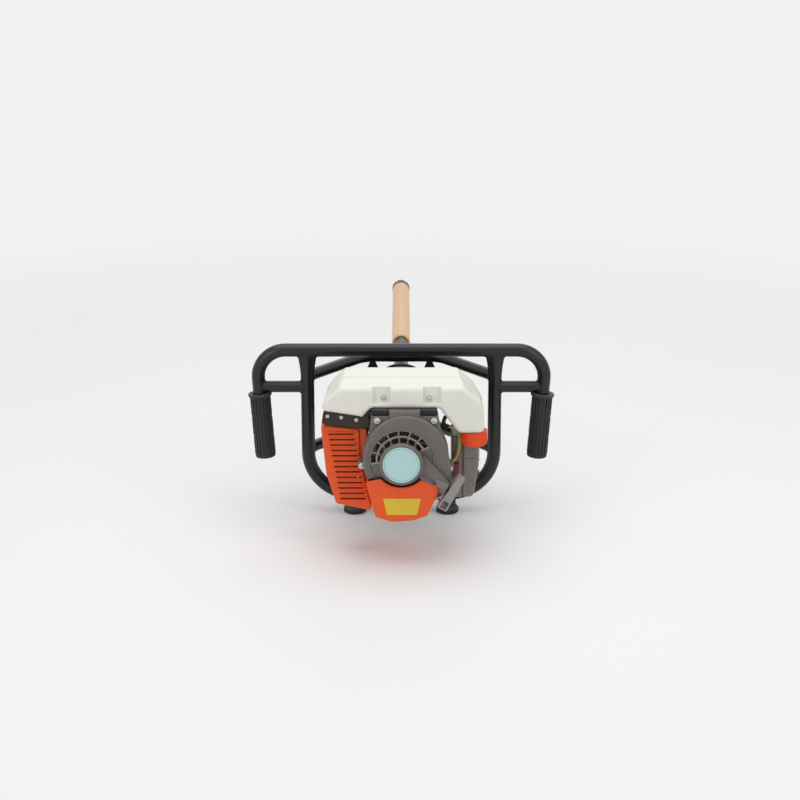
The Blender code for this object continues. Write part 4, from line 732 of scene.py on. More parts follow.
def settle_in(made, name, finish, *nodes, body="rig", weld=0.0005):
    """Brings a finished shape from the rig's millimetres to the frame, on its body."""
    bm = bmesh.new()
    bm.from_mesh(made.data)
    bmesh.ops.remove_doubles(bm, verts=bm.verts, dist=weld)
    bmesh.ops.dissolve_degenerate(bm, edges=bm.edges, dist=weld)
    bm.transform(RIG)
    bm.to_mesh(made.data)
    bm.free()
    made.data.shade_smooth()
    made.data.set_sharp_from_angle(angle=SHARP)
    even = made.modifiers.new("even_normals", "WEIGHTED_NORMAL")
    even.keep_sharp = True
    even.weight = 60
    settle(made)
    made.name = name
    made.data.name = name
    made.data.materials.clear()
    made.data.materials.append(finish)
    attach(made, body)
    if nodes:
        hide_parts(*nodes)
    return made


def repaint(finish, *nodes):
    """A CAD node that keeps its shape gets its finish."""
    for node in nodes:
        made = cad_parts[node]
        if not made.material_slots:
            made.data.materials.append(finish)
        for place in made.material_slots:
            place.material = finish


def softened(node, finish, width, body="rig"):
    """A CAD node's own shape, merged, with its edges rounded."""
    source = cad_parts[node]
    bm = bmesh.new()
    bm.from_mesh(source.data)
    bm.transform(RIG.inverted() @ source.matrix_world)
    bmesh.ops.remove_doubles(bm, verts=bm.verts, dist=0.001)
    bmesh.ops.dissolve_limit(bm, angle_limit=math.radians(1), verts=bm.verts, edges=bm.edges)
    made = bevel(from_bm(node + "_finished", bm), width, 2)
    return settle_in(made, node + "_finished", finish, node, body=body)


# Camera, light and floor

def make_camera():
    data = bpy.data.cameras.new("camera")
    data.lens = 89.3
    data.sensor_width = 36
    data.clip_end = 60
    camera = link("camera", data)
    camera.location = RIG @ Vector((-2, -2839, 999))
    camera.rotation_euler = (math.radians(72.5), 0, 0)
    bpy.context.scene.camera = camera


def make_lamp(name, place, aim_at, size, power):
    data = bpy.data.lights.new(name, "AREA")
    data.shape = "RECTANGLE"
    data.size, data.size_y = size
    data.energy = power
    lamp = link(name, data)
    lamp.location = place
    lamp.rotation_euler = (Vector(aim_at) - Vector(place)).to_track_quat("-Z", "Y").to_euler()


def seen_directly(tree):
    """Where the camera, a mirror or a clear piece looks straight at a background."""
    path = put(tree, "ShaderNodeLightPath")
    first = add_math(tree, "MAXIMUM", (path, "Is Camera Ray"), (path, "Is Glossy Ray"))
    return add_math(tree, "MAXIMUM", first, (path, "Is Transmission Ray"))


def plain_background(tree, rgb):
    shown = put(tree, "ShaderNodeBackground")
    shown.inputs["Color"].default_value = (*linear(rgb), 1)
    return shown


def show(tree, share, near, far, output):
    """Ends a tree with one shader that gives way to another."""
    mixed = put(tree, "ShaderNodeMixShader")
    wire(tree, (share, 0, mixed, 0), (near, 0, mixed, 1), (far, 0, mixed, 2),
         (mixed, 0, tree.nodes[output], "Surface"))


def make_floor():
    """A lit floor round the object, turning into the plain background's tone further off."""
    bm = bmesh.new()
    bmesh.ops.create_grid(bm, x_segments=1, y_segments=1, size=14)
    floor = from_bm("floor", bm)
    paper = bpy.data.materials.new("floor_paper")
    paper.use_nodes = True
    tree = paper.node_tree
    shader = tree.nodes["Principled BSDF"]
    shader.inputs["Base Color"].default_value = (*linear((241, 241, 241)), 1)
    shader.inputs["Roughness"].default_value = 0.6
    shader.inputs["Specular IOR Level"].default_value = 0.3
    spot, size = put(tree, "ShaderNodeTexCoord"), put(tree, "ShaderNodeVectorMath", operation="LENGTH")
    wire(tree, (spot, "Object", size, 0))
    away = add_range(tree, size, "Value", 0.75, 1.9, 0.0, 1.0)
    share = add_math(tree, "MULTIPLY", away, seen_directly(tree))
    show(tree, share, shader, plain_background(tree, (242, 242, 241)), "Material Output")
    floor.data.materials.append(paper)


def make_world():
    world = bpy.data.worlds.new("studio")
    bpy.context.scene.world = world
    world.use_nodes = True
    tree = world.node_tree
    light = tree.nodes["Background"]
    light.inputs["Color"].default_value = (1, 1, 1, 1)
    light.inputs["Strength"].default_value = 0.54
    show(tree, seen_directly(tree), light, plain_background(tree, (241, 241, 240)), "World Output")


make_camera()
make_world()
make_floor()
make_lamp("overhead", (0, -0.3, 2.6), (0, -0.2, 0), (2.6, 2.6), 33)
make_lamp("front_left", (-2.0, -3.0, 1.7), (0, -0.4, 0.15), (1.6, 1.6), 17)
make_lamp("front_right", (2.2, -2.4, 1.9), (0, -0.4, 0.15), (1.4, 1.4), 12)
make_lamp("behind", (0.4, 3.0, 2.2), (0, 0, 0.15), (1.8, 1.4), 9)
bpy.context.scene.view_settings.view_transform = "Standard"


# Frame

def leg_point(side, z):
    return Vector((side * (LEG_TOP_X - (CROSSBAR_Z - z) * LEG_LEAN), FRAME_Y, z))


def weld(name, tube_point, tube_way, tube_radius, start, way, across, wide, flat, size=1.7):
    """A bead where a section going from start along way meets a round tube."""
    tube_point, tube_way = Vector(tube_point), Vector(tube_way).normalized()
    start, way, across = Vector(start), Vector(way).normalized(), Vector(across)
    other = way.cross(across)
    bm = bmesh.new()
    line = []
    for i in range(64):
        turn = math.tau * i / 64
        spot = start + across * flat * math.cos(turn) + other * wide * math.sin(turn)
        reach = way - tube_way * way.dot(tube_way)
        apart = spot - tube_point
        apart = apart - tube_way * apart.dot(tube_way)
        a, b = reach.dot(reach), 2 * apart.dot(reach)
        under = max(b * b - 4 * a * (apart.dot(apart) - tube_radius ** 2), 0)
        line.append(bm.verts.new(spot + way * (-b - math.sqrt(under)) / (2 * a)))
    for one, two in zip(line, line[1:] + line[:1]):
        bm.edges.new((one, two))
    made = from_bm(name, bm)
    return grow(made, BEAD_TREE, Pitch=1.25, Size=size, Seed=len(name))


def make_frame():
    end_z = 34 - 103.7 * math.cos(math.radians(4))
    low_left, low_right = leg_point(-1, end_z), leg_point(1, end_z)
    corner_left, corner_right = leg_point(-1, CROSSBAR_Z), leg_point(1, CROSSBAR_Z)
    handlebar = sweep("handlebar", bent_line([low_left, corner_left, corner_right, low_right], 45, 16),
                      TUBE_R - 0.1, 48)
    settle_in(handlebar, "handlebar", FRAME_PAINT, "handlebar_tube")
    line = bent_line([(-POST_X, FRAME_Y, 60), (-POST_X, FRAME_Y, HOOP_Z), (POST_X, FRAME_Y, HOOP_Z),
                      (POST_X, FRAME_Y, 60)], 73, 18)
    steps = [(62, 0.0), (68, 0.08), (74, 0.2), (80, 0.36), (86, 0.56), (92, 0.8), (97, 0.96), (103, 1.0)]
    left = [Vector((-POST_X, FRAME_Y, z)) for z, _ in steps][::-1]
    right = [Vector((POST_X, FRAME_Y, z)) for z, _ in steps]
    rise = [grow_by for _, grow_by in steps]
    plain = [0.0] * len(line)
    amount = rise[::-1] + plain + rise
    hoop = sweep("hoop", left + line + right, TUBE_R, 48,
                 [1 + 0.4 * v for v in amount], [1 - 0.12 * v for v in amount])
    settle_in(hoop, "hoop", FRAME_PAINT, "hoop_tube")
    beads = []
    for side, word in ((-1, "left"), (1, "right")):
        leg = leg_point(side, STUB_Z)
        stub = sweep("stub", [(side * POST_X, FRAME_Y, STUB_Z), leg], BRACE_R)
        settle_in(stub, "handle_stub_%s_tube" % word, FRAME_PAINT,
                  "handle_stub_" + word)
        beads.append(weld("bead_post_" + word, (0, FRAME_Y, CROSSBAR_Z), (1, 0, 0), TUBE_R,
                          (side * POST_X, FRAME_Y, 70), (0, 0, 1), (0, 1, 0), 15.2, 9.6))
        beads.append(weld("bead_stub_in_" + word, (side * POST_X, FRAME_Y, 0), (0, 0, 1), TUBE_R,
                          (side * 190, FRAME_Y, STUB_Z), (-side, 0, 0), (0, 1, 0), BRACE_R, BRACE_R))
        leg_way = leg_point(side, 90) - leg
        beads.append(weld("bead_stub_out_" + word, leg, leg_way, TUBE_R,
                          (side * 190, FRAME_Y, STUB_Z), (side, 0, 0), (0, 1, 0), BRACE_R, BRACE_R))
    for word, z in (("upper", 63), ("lower", -61)):
        corners = [(-POST_X, FRAME_Y, z), (-62, 376, z), (62, 376, z), (POST_X, FRAME_Y, z)]
        brace = sweep("brace", bent_line(corners, 40, 10), BRACE_R, 40, side=(0, 0, 1))
        settle_in(brace, "rear_brace_%s_tube" % word, FRAME_PAINT,
                  "rear_brace_" + word)
        for side in (-1, 1):
            way = Vector((side * 91, -116, 0)).normalized()
            spot = Vector((side * POST_X, FRAME_Y, z)) - way * 40
            beads.append(weld("bead_%s_%d" % (word, side), (side * POST_X, FRAME_Y, 0), (0, 0, 1), TUBE_R,
                              spot, way, (0, 0, 1), BRACE_R, BRACE_R))
    settle_in(gather("beads", beads), "frame_welds", FRAME_PAINT, weld=0.0001)


def make_grip(side, word):
    """A ribbed rubber sleeve in three zones, with a flange at its top."""
    top = leg_point(side, 34)
    up = (leg_point(side, CROSSBAR_Z) - top).normalized()
    bottom = top - up * 109
    sleeve = lathe("sleeve", [(0, 0), (15.2, 0), (16.4, 1.2), (16.4, 3.4), (15.1, 4), (15.1, 102),
                              (17.2, 104), (19.2, 105.2), (19.2, 109), (11.2, 109), (11.2, 100), (0, 100)],
                   bottom, up, 96, soft=0.9)
    ribs = []
    for low, high in ((5, 36), (38.5, 69.5), (72, 103)):
        rib = block("rib", (14.4, 16.9), (-1.6, 1.6), (low, high), 0.7, 3)
        ribs.append(round_copies(rib, 18, bottom, up, first=10))
    grip = gather("grip", [sleeve] + ribs)
    settle_in(grip, "ribbed_grip_" + word, GRIP_RUBBER, "grip_" + word)


def make_foot(side, word):
    profile = [(0, 26), (13.5, 26), (13.5, 12), (18.5, 7.5), (18.5, 1.2),
               (17.2, 0), (13, 0), (11, 1.4), (0, 1.4)]
    foot = lathe("foot", profile, (side * 77, FRAME_Y, FLOOR_Z), UP, 72, soft=0.9)
    settle_in(foot, "rubber_foot_" + word, FOOT_RUBBER, "foot_" + word)


make_frame()
for grip_side, grip_word in ((-1, "left"), (1, "right")):
    make_grip(grip_side, grip_word)
    make_foot(grip_side, grip_word)


# Starter

def cover_outline(grow_by=0.0, steps=36):
    centre = (COVER_X, 0)
    outline = [(-45, 76.7), (-47, 60)] + arc(centre, COVER_R, 148, 288, steps)
    outline += [(60, -62), (78, -40), (76, -14)] + arc(centre, COVER_R, 0, 32, steps // 4)
    outline += [(57, 60), (55, 76.7)]
    return grown(outline, grow_by) if grow_by else outline


def dome_outline(grow_by=0.0):
    """The cover's raised front, round at the top where the housing has its ears."""
    outline = cover_outline()[2:-2]
    outline += [(COVER_X + COVER_R * math.cos(math.radians(a)), 70 * math.sin(math.radians(a)))
                for a in range(36, 146, 4)]
    return grown(outline, grow_by) if grow_by else outline


def shroud_outline():
    low = [(57, -40), (58, -47), (40, -88), (17, -96), (-15, -98), (-40, -90), (-49, -55)]
    return [(-55, -33)] + arc((0, 0), SHROUD_R, 222, 316, 24) + low


def ring_slot(inner, outer, middle, spread, low, corner=1.2):
    """One slot of the grille, as a cutter that starts at low."""
    half = spread / 2
    outline = arc((0, 0), outer, middle - half, middle + half, 6)
    outline += arc((0, 0), inner, middle + half, middle - half, 6)
    return slab("slot", rounded(outline, corner, 4), low, 31)


def make_cover_body():
    """The housing with its dome, ears, boss and rope spout, hollow behind."""
    body = slab("cover", rounded(cover_outline(), 4, 3), 33, 58, edge=2.4, segments=4)
    dome = slab("dome", dome_outline(), 24, 36, edge=4, segments=5)
    neck = slab("neck", rounded([(-18, 60), (28, 60), (27, 76.7), (-17, 76.7)], 2),
                28, 34, edge=3, segments=4)
    rim = lathe("rim", [(0, 27), (51.6, 27), (51.2, 22.4), (48.6, 21.8), (48.2, 24.2), (0, 24.2)], soft=0.6)
    boss = lathe("boss", [(0, 40), (33.2, 40), (33.2, 8), (33, 1.6), (31.5, 0), (29.2, 0), (28.8, 1.3),
                          (0, 1.3)], soft=0.6)
    across = Vector((-PULL.z, 0, PULL.x))
    high, low = EYELET + across * 9, EYELET - across * 9
    channel = rounded([(33, 12), (high.x, high.z), (low.x, low.z), (58, -40), (28, -28)], 3)
    spout = lathe("spout", [(0, 0), (1.2, 0), (9.6, 30), (10.4, 38), (9.4, 40.5), (0, 40.5)],
                  EYELET - PULL * 40.5 + Vector((0, 9.5, 0)), PULL - Vector((0, 0.24, 0)), 64, soft=1.2)
    ears = [bar("ear", (x, 32, z), (x, 58, z), radius, soft=1) for x, z, radius in SIDE_EARS]
    ears += [bar("ear", (x, 29.6, z), (x, 36, z), 6.4, soft=1.2) for x, z in TOP_EARS]
    fuse(body, dome, neck, rim, boss, slab("channel", channel, 14, 27, edge=4, segments=4), spout, *ears)
    return cut(body, slab("hollow", cover_outline(-2.5), 35.5, 60),
               slab("dome_room", dome_outline(-2.5), 26.5, 37),
               bar("boss_room", (0, 3.8, 0), (0, 26, 0), 30.5),
               slab("shroud_room", grown(shroud_outline(), 0.5), 4, 34),
               *[block("corner", x, (20, 70), (67.5, 80)) for x in ((-50, -19), (29, 60))])


def make_starter_cover():
    body = make_cover_body()
    face = lathe("face", [(33.4, 26), (47.9, 26), (47.9, 23.4), (33.4, 23.4)], ring=True, soft=0.4)
    middles = [38.5 + 22.8 * i for i in range(7)]
    for solid, low in ((body, 7.5), (face, 20)):
        slots = [ring_slot(39.2, 46.8, middle, 20.4, low) for middle in middles]
        slots += [ring_slot(27, 36.2, middle, 18.6, low, 2.6) for middle in middles]
        cut(solid, gather("slots", slots))
    keep = slab("keep", [(0, 0)] + arc((0, 0), 60, 25, 189, 24), 8, 30)
    settle_in(combine(face, [keep], "INTERSECT"), "starter_grille", GRILLE_GREY)
    cut(body, bar("tunnel", EYELET + PULL * 4, EYELET - PULL * 45, 2.8))
    fuse(body, bar("post", (0, 2, 0), (0, 19.6, 0), 5))
    settle_in(body, "starter_cover", COVER_GREY, "recoil_cover")
    label = lathe("label", [(0, 1.25), (28.5, 1.25), (28.5, 0.35), (0, 0.35)], soft=0.15, sides=128)
    settle_in(label, "round_label", LABEL_FILM)
    # Black rubber pads under the tank. They are mounts, and they are also dark blocks that stand for the
    # shade in the pockets under the tank: painted shade.
    for x, word in ((-32.5, "left"), (42.5, "right")):
        pad = block("pad", (x - 13, x + 12.5), (36, 57.9), (67.7, 76.8), 1.5, 3)
        settle_in(pad, "tank_pad_" + word, FOOT_RUBBER)


def make_handle():
    """The hollow pull bar, across the rope's way, open at its lower end."""
    turn = Matrix.Translation(HANDLE) @ Matrix.Rotation(-PULL_TURN, 4, "Y")
    outline = rounded([(-7.9, -29.5), (7.9, -29.5), (5.6, 29.5), (-5.6, 29.5)], 1.4, 3)
    handle = slab("handle", outline, -8.5, 8.5, edge=1.0, segments=3)
    cut(handle, slab("hollow", [(-6.1, -45), (6.1, -45), (3.8, 20), (-3.8, 20)], -6.9, 6.9),
        block("mouth", (-4.9, 4.9), (-12, 0), (-27, -15), 0.8))
    handle.data.transform(turn)
    cut(handle, bar("rope_hole", HANDLE - PULL * 9, HANDLE + PULL * 2, 2.4))
    settle_in(handle, "pull_bar", HANDLE_GREY, "pull_handle", body="pull")
    rope = bar("rope", EYELET - PULL * 16, HANDLE + PULL * 1.7, 2.0, 24)
    settle_in(rope, "rope_end", ROPE_BRAID, "starter_rope", body="pull")


def make_flywheel():
    disc = lathe("disc", [(7.8, 50), (14, 50), (14, 42), (49, 42), (49, 38), (14, 38), (14, 29.6),
                          (7.8, 29.6)], ring=True, sides=72)
    inner, outer = arc((18, -14), 30, 64, 24, 8), arc((18, -14), 32, 24, 64, 8)
    blade = slab("blade", inner + outer, -39, -29, "Z", 0.3, 2)
    blades = round_copies(blade, 12, (0, 0, 0), (0, -1, 0))
    settle_in(gather("flywheel", [disc, blades]), "fan_flywheel", FLYWHEEL_ALLOY, "flywheel", body="crank")


make_starter_cover()
make_handle()
make_flywheel()


# Engine covers

def make_shroud():
    outline = shroud_outline()
    body = slab("shroud", rounded(outline, 5, 3), 15.2, 124, edge=2.6, segments=4)
    cut(body, slab("inner", grown(outline, -2.5), 17.7, 126),
        slab("cover_room", cover_outline(0.4), 17.7, 62.6),
        block("case_room", (-70, 70), (58, 127), (-52, 0)),
        block("intake_room", (28, 80), (74, 127), (-89, 0)), port("exhaust_room", -70, -30, 16))
    settle_in(body, "orange_shroud", ORANGE_PLASTIC, "cylinder_shroud")
    plate = slab("plate", rounded([(-28, -59.5), (30, -59.5), (24, -86), (-22, -86)], 1.5),
                 14.75, 15.25, edge=0.12)
    settle_in(plate, "yellow_plate", PRINTED_YELLOW)


MUFFLER_OUTLINE = [(-124.5, 44), (-64, 37), (-62.5, -10.6), (-55, -47), (-44.5, -98), (-101.5, -86),
                   (-116.5, -37)]


def make_muffler_cover():
    body = slab("shell", rounded(MUFFLER_OUTLINE, 5, 4), 63, 137, edge=3.5, segments=4)
    cut(body, slab("inner", grown(MUFFLER_OUTLINE, -2), 65, 134.8),
        slab("back_door", grown(MUFFLER_OUTLINE, -17), 130, 141))
    flank = [(-66, 36), (-54, 36), (-54, 16), (-57.5, -12), (-56, -34), (-60, -40), (-66, -12)]
    fuse(body, slab("flank", flank, 66, 68))
    hoods, slots = [], []
    for i in range(LOUVRES):
        z = TOP_LOUVRE_Z - LOUVRE_PITCH * i
        left = -114.5 + (TOP_LOUVRE_Z - z) * LOUVRE_SLANT
        hoods.append(slab("hood", rounded(oblong(left, left + 43, z - 2.3, z + 2.2), 2.1, 4),
                          61.4, 65, edge=1.5))
        slot = slab("slot", rounded(oblong(left + 1.5, left + 41.5, z - 3.4, z + 0.6), 1.6, 3), 60, 70)
        slot.data.transform(Matrix.Translation((0, 64, z)) @ Matrix.Rotation(math.radians(24), 4, "X")
                            @ Matrix.Translation((0, -64, -z)))
        slots.append(slot)
    fuse(body, *hoods)
    cut(body, gather("slots", slots))
    cut(body, port("pipe_room", -75, -35, 16))
    side_slots = row_copies(block("side_slot", (-128, -105), (-6, 6), (-1.6, 1.6), 0.8), 7, (0, 0, -9.5))
    side_slots.data.transform(Matrix.Translation((0, 120, 20)))
    cut(body, side_slots)
    for z in (12, -20):
        wall_x = -124.5 + 8 * (44 - z) / 81
        fuse(body, bar("post", (wall_x + 1, CYLINDER_Y, z), (-100.3, CYLINDER_Y, z), 5))
    settle_in(body, "louvred_cover", ORANGE_PLASTIC, "muffler_cover")


def make_muffler():
    can = block("can", (-100, -70), (70, 131), (-74, 28), 4, 4)
    seam = rounded(grown(oblong(-100, -70, -74, 28), 1.2), 5)
    fuse(can, slab("seam", seam, 99.5, 101.5, edge=0.7), port("pipe", -72, -38.8, 13))
    cut(can, port("gas", -80, -37, 9), bar("outlet", (-86, 120, 0), (-86, 140, 0), 6))
    settle_in(can, "muffler_can", BLACKED_STEEL, "muffler")
    front = rounded([(-119, 71), (-122, 50), (-63.5, 42), (-49, 44), (-49, 72), (-60.3, 61)], 2)
    shield = slab("shield", front, 50, 52, edge=0.6)
    fuse(shield, block("shelf", (-118, -66), (51, 129), (46.5, 48.5), 0.5, 2))
    settle_in(shield, "heat_plate", HEATED_PAINT, "heat_shield")


# Fuel

TANK_OUTLINE = [(-95, 110), (-118, 90), (-123, 73), (-60, 63), (-46, 77), (58, 77), (78, 50), (88, 37),
                (127, 37), (127, 62), (122, 88), (95, 110)]


def make_tank():
    body = slab("tank", rounded(TANK_OUTLINE, 9, 6), 40, 157, edge=9, segments=7)
    seam = slab("seam", rounded(grown(TANK_OUTLINE, 0.9), 9, 6), 97.4, 99.2, edge=0.7, segments=2)
    fuse(body, seam, bar("neck", (*FILLER, 25), (*FILLER, 44), 15))
    cut(body, *[block("recess", x, (36, 49), (84.5, 130), 3, 4) for x in ((-44, -16), (33, 61))],
        slab("housing", cover_outline(0.5), 38, 63), bar("filler", (*FILLER, 20), (*FILLER, 50), 12))
    for point in body.data.vertices:
        rise = min(max((point.co.z - 66) / 22, 0), 1)
        point.co.x *= 1 - 0.08 * rise * min(max((point.co.y - 62) / 70, 0), 1)
    settle_in(body, "white_tank", TANK_WHITE, "fuel_tank_front", "fuel_tank_rear")
    cap = lathe("cap", [(0, 13.7), (17.5, 13.7), (19.2, 15.4), (19.2, 34.9), (20, 35.3), (20, 36.7),
                        (15.3, 36.7), (15.3, 23.7), (0, 23.7)], (*FILLER, 0), UP, 96, soft=0.8)
    rib = block("rib", (18.8, 19.9), (-0.7, 0.7), (16, 35.5), 0.45, 2)
    cap = gather("cap", [cap, round_copies(rib, 40, (*FILLER, 0), UP)])
    settle_in(cap, "filler_cap_ribbed", CAP_PLASTIC, "fuel_cap", body="filler_cap")


HOSE_START = Vector((73.2, 72, 38))


def make_fuel_line():
    low, high = Vector((78, 72, 50)), Vector((58, 72, 77))
    wall = high.lerp(low, 0.75)
    away = Vector((low.z - high.z, 0, high.x - low.x)).normalized()
    bend = [wall + away * 2, wall + away * 7, wall + Vector((-7.5, 0, -12)), HOSE_START - Vector((5, 0, 1)),
            HOSE_START - Vector((2, 0, 0))]
    fitting = sweep("fitting", flowing(bend, 6) + [HOSE_START], 3.1, 24)
    grommet = lathe("grommet", [(0, 0.3), (6.5, 0.3), (6.5, 2.4), (4.4, 3.6), (0, 3.6)],
                    wall, away, 48, soft=0.6)
    collar = lathe("collar", [(0, 0), (4.0, 0), (4.0, 3), (0, 3)], HOSE_START
                   - Vector((4, 0, 0)), (1, 0, 0), 32)
    settle_in(gather("outlet", [fitting, grommet, collar]), "outlet_elbow", BLACK_MOULDING,
              "tank_outlet")
    route = [HOSE_START + Vector((0.3, 0, 0)), HOSE_START + Vector((2.5, 0, 0)), (80, 72, 38), (86.5, 73, 33),
             (89.5, 74, 22), (89, 76, 4), (86, 78, -12), (78, 77, -24), (74, 74, -40), (74, 73, -53),
             (74, 76, -59.5), (74, 80.7, -60)]
    points = flowing(route, 4)
    hose = settle_in(sweep("hose", points, 2.6, 24), "fuel_line_hose", FUEL_LINE, "fuel_hose")


make_shroud()
make_muffler_cover()
make_muffler()
make_tank()
make_fuel_line()


# Engine

def make_crankcase():
    back_plate = slab("back_plate", cover_outline(-0.4), 58.3, 62.3, edge=0.8, segments=2)
    case = lathe("case", [(0, 61), (38, 61), (38, 116), (36, 119), (36, CASE_END_Y), (0, CASE_END_Y)], soft=1)
    seat = block("seat", (-29, 29), (CYLINDER_Y - 24, CYLINDER_Y + 24), (-41.7, 0), 2)
    rib = slab("rib", [(36, 62), (50, 62), (38.5, 84), (36, 84)], -2, 2, "Y", 0.8, 2)
    ribs = round_copies(rib, 4, first=20, step=47)
    fuse(back_plate, case, seat, ribs)
    cut(back_plate, bar("shaft_bore", (0, 56, 0), (0, 125, 0), 7.9),
        bar("lead_hole", (-36, 56, 64), (-36, 66, 64), 4.5))
    settle_in(back_plate, "cast_crankcase", CAST_ALLOY, "crankcase")


def shroud_limit():
    """Everything below and beside the room inside the shroud's lower half."""
    low = sorted(p for p in grown(shroud_outline(), -3.1) if p[1] < -50)
    edge = [(-70, 0), (low[0][0], 0)] + low + [(low[-1][0], 0), (70, 0), (70, -130), (-70, -130)]
    return slab("limit", edge, CYLINDER_Y - 50, CYLINDER_Y + 50)


def make_cylinder():
    base = block("base", (-28, 28), (CYLINDER_Y - 24, CYLINDER_Y + 24), (-50, -42), 1.5)
    barrel = bar("barrel", (0, CYLINDER_Y, -49), (0, CYLINDER_Y, -92), 28)
    fins = row_copies(slab("fin", rounded(oblong(-37, 37, 65, 131), 9), -56, -54.4, "Z", 0.5, 2),
                      8, (0, 0, -5.25))
    ports = block("ports", (-38.5, 38.5), (CYLINDER_Y - 14, CYLINDER_Y + 14), (PORT_Z - 14, PORT_Z + 14), 1)
    fuse(base, barrel, fins, ports)
    cut(base, shroud_limit(), port("bore", -39, 39, 9), bar("socket", PLUG + PLUG_WAY * 10, PLUG
                                                            + PLUG_WAY * 60, 13))
    settle_in(base, "finned_cylinder", CAST_ALLOY, "cylinder")


PLUG = Vector((0, CYLINDER_Y + 12, -79))
PLUG_WAY = Vector((0, math.cos(PLUG_TILT), -math.sin(PLUG_TILT)))


def make_spark_plug():
    ceramic = lathe("ceramic", [(0, 44), (3, 44), (3, 38), (4.6, 37), (4.6, 33.5), (5, 33), (4.6, 32.5),
                                (4.6, 30), (5, 29.5), (4.6, 29), (5, 23), (6.6, 22.4), (0, 22.4)], PLUG,
                    PLUG_WAY, 40, soft=0.3)
    settle_in(ceramic, "plug_insulator", PLUG_CERAMIC, "spark_plug")
    nut = slab("hexagon", hexagon(9.0), 10.5, 21, "Z", 0.5)
    washer = lathe("washer", [(0, -4), (6.6, -4), (6.6, 10.3), (8.6, 10.3), (8.6, 11.4), (0, 11.4)], soft=0.3)
    washer.data.transform(aim(ORIGIN, (0, 1, 0)).inverted())
    shell = lathe("shell", [(0, 20), (6.8, 20), (6.6, 22.8), (0, 22.8)], ORIGIN, UP, 40, soft=0.3)
    metal = gather("plug_metal", [nut, washer, shell])
    metal.data.transform(aim(PLUG, PLUG_WAY))
    settle_in(metal, "plug_shell", SCREW_STEEL)
    boot = lathe("boot", [(0, 62), (6, 62), (7.2, 58), (9, 55), (9, 30), (9.6, 29), (9.6, 27), (5.3, 27),
                          (5.3, 45), (0, 45)], PLUG, PLUG_WAY, 56, soft=0.8)
    settle_in(boot, "plug_boot", LEAD_RUBBER)
    end = PLUG + PLUG_WAY * 58
    points = flowing([end, end + Vector((-16, -4, 8)), (-50, 142, -50), (-55, 130, -5), (-53, 100, 38),
                      (-44, 76, 58), (-36, 62, 64), (-34, 51, 64), (-28, 47, 64), (-20.3, 47, 64)], 6)
    lead = settle_in(sweep("lead", points, 3, 24), "plug_lead", LEAD_RUBBER, "ignition_lead")


def make_air_cleaner():
    base = block("base", (78.4, 94.4), (84, 150), (-83, 18), 3, 4)
    fuse(base, block("lip", (91.4, 94.4), (84, 150.8), (-83.8, 18.8), 1))
    cut(base, port("hole", 76, 97, 9))
    settle_in(base, "cleaner_back", LID_GREY, "air_cleaner_base")
    outline = [(94.7, 18), (121, 18), (121, -30), (114, -78), (109, -83), (94.7, -83)]
    cover = slab("cover", rounded(outline, 5, 5), 84, 150, edge=4.5, segments=5)
    cut(cover, *[block("groove", (92, 124), (82, 84.9), (z - 0.8, z + 0.8)) for z in (10.5, -18)])
    ribs = row_copies(block("rib", (120, 122.2), (90, 144), (-0.9, 0.9), 0.6), 5, (0, 0, -7.5))
    ribs.data.transform(Matrix.Translation((0, 0, 6)))
    settle_in(fuse(cover, ribs), "cleaner_lid", LID_GREY, "air_cleaner_cover")
    knob = lathe("knob", [(0, 0), (9, 0), (9, 3), (7.5, 5), (7.5, 9), (6.2, 10.5), (0, 10.5)],
                 (112, 117, -55), (1, 0, -0.15), 48, soft=0.8)
    settle_in(knob, "cleaner_knob", BLACK_MOULDING)


def make_carburettor():
    softened("intake_insulator", BLACK_MOULDING, 0.8)
    softened("carburettor", CAST_ALLOY, 0.6)
    softened("ignition_coil", BLACK_MOULDING, 0.5)
    softened("throttle_lever", MACHINED_STEEL, 0.4, "throttle")
    softened("choke_lever", RED_MOULDING, 0.5, "choke")
    bulb = lathe("bulb", [(0, 0), (8, 0), (8, -4.5), (7.4, -7.6), (5.4, -10.6), (2.6, -11.8), (0, -12)],
                 (64.6, CYLINDER_Y, -83.3), UP, 48, soft=0.8)
    settle_in(bulb, "primer_dome", RED_MOULDING, "primer_bulb", body="primer")


make_crankcase()
make_cylinder()
make_spark_plug()
make_air_cleaner()
make_carburettor()


# Clutch housing and gearbox

def ring_of(radius, y, count, first=0.0, way=(0, 1, 0)):
    turns = [math.radians(first + 360 * i / count) for i in range(count)]
    return [((radius * math.cos(t), y, radius * math.sin(t)), way) for t in turns]


def make_clutch_housing():
    bell = lathe("bell", [(12, 239.7), (40, 239.7), (40, 231.7), (27, 227.7), (27, 178.6), (44, 164.6),
                          (44, 128.6), (47, 128.6), (47, CASE_END_Y + 0.3), (41, CASE_END_Y + 0.3),
                          (41, 162.6), (22, 178.6), (22, 225.7), (12, 225.7)],
                 ring=True, sides=120, soft=1.5)
    web = slab("web", [(25, 232), (39, 232), (28.5, 206), (28.5, 188), (41, 168), (25, 172)], -2,
               2, "Y", 1, 3)
    webs = round_copies(web, 8, first=22.5)
    foot = slab("foot", [(42, 123), (47, 123), (47, 130), (44.6, 152), (42, 152)], -2, 2, "Y", 0.8, 2)
    feet = round_copies(foot, 12)
    boss = lathe("boss", [(0, 122.6), (5.5, 122.6), (5.5, 134), (4.5, 136), (0, 136)],
                 (BELL_BOLTS_R, 0, 0), UP, 32)
    bosses = round_copies(boss, 4, first=45)
    fuse(bell, webs, feet, bosses)
    settle_in(bell, "cast_clutch_housing", CAST_ALLOY, "clutch_housing")


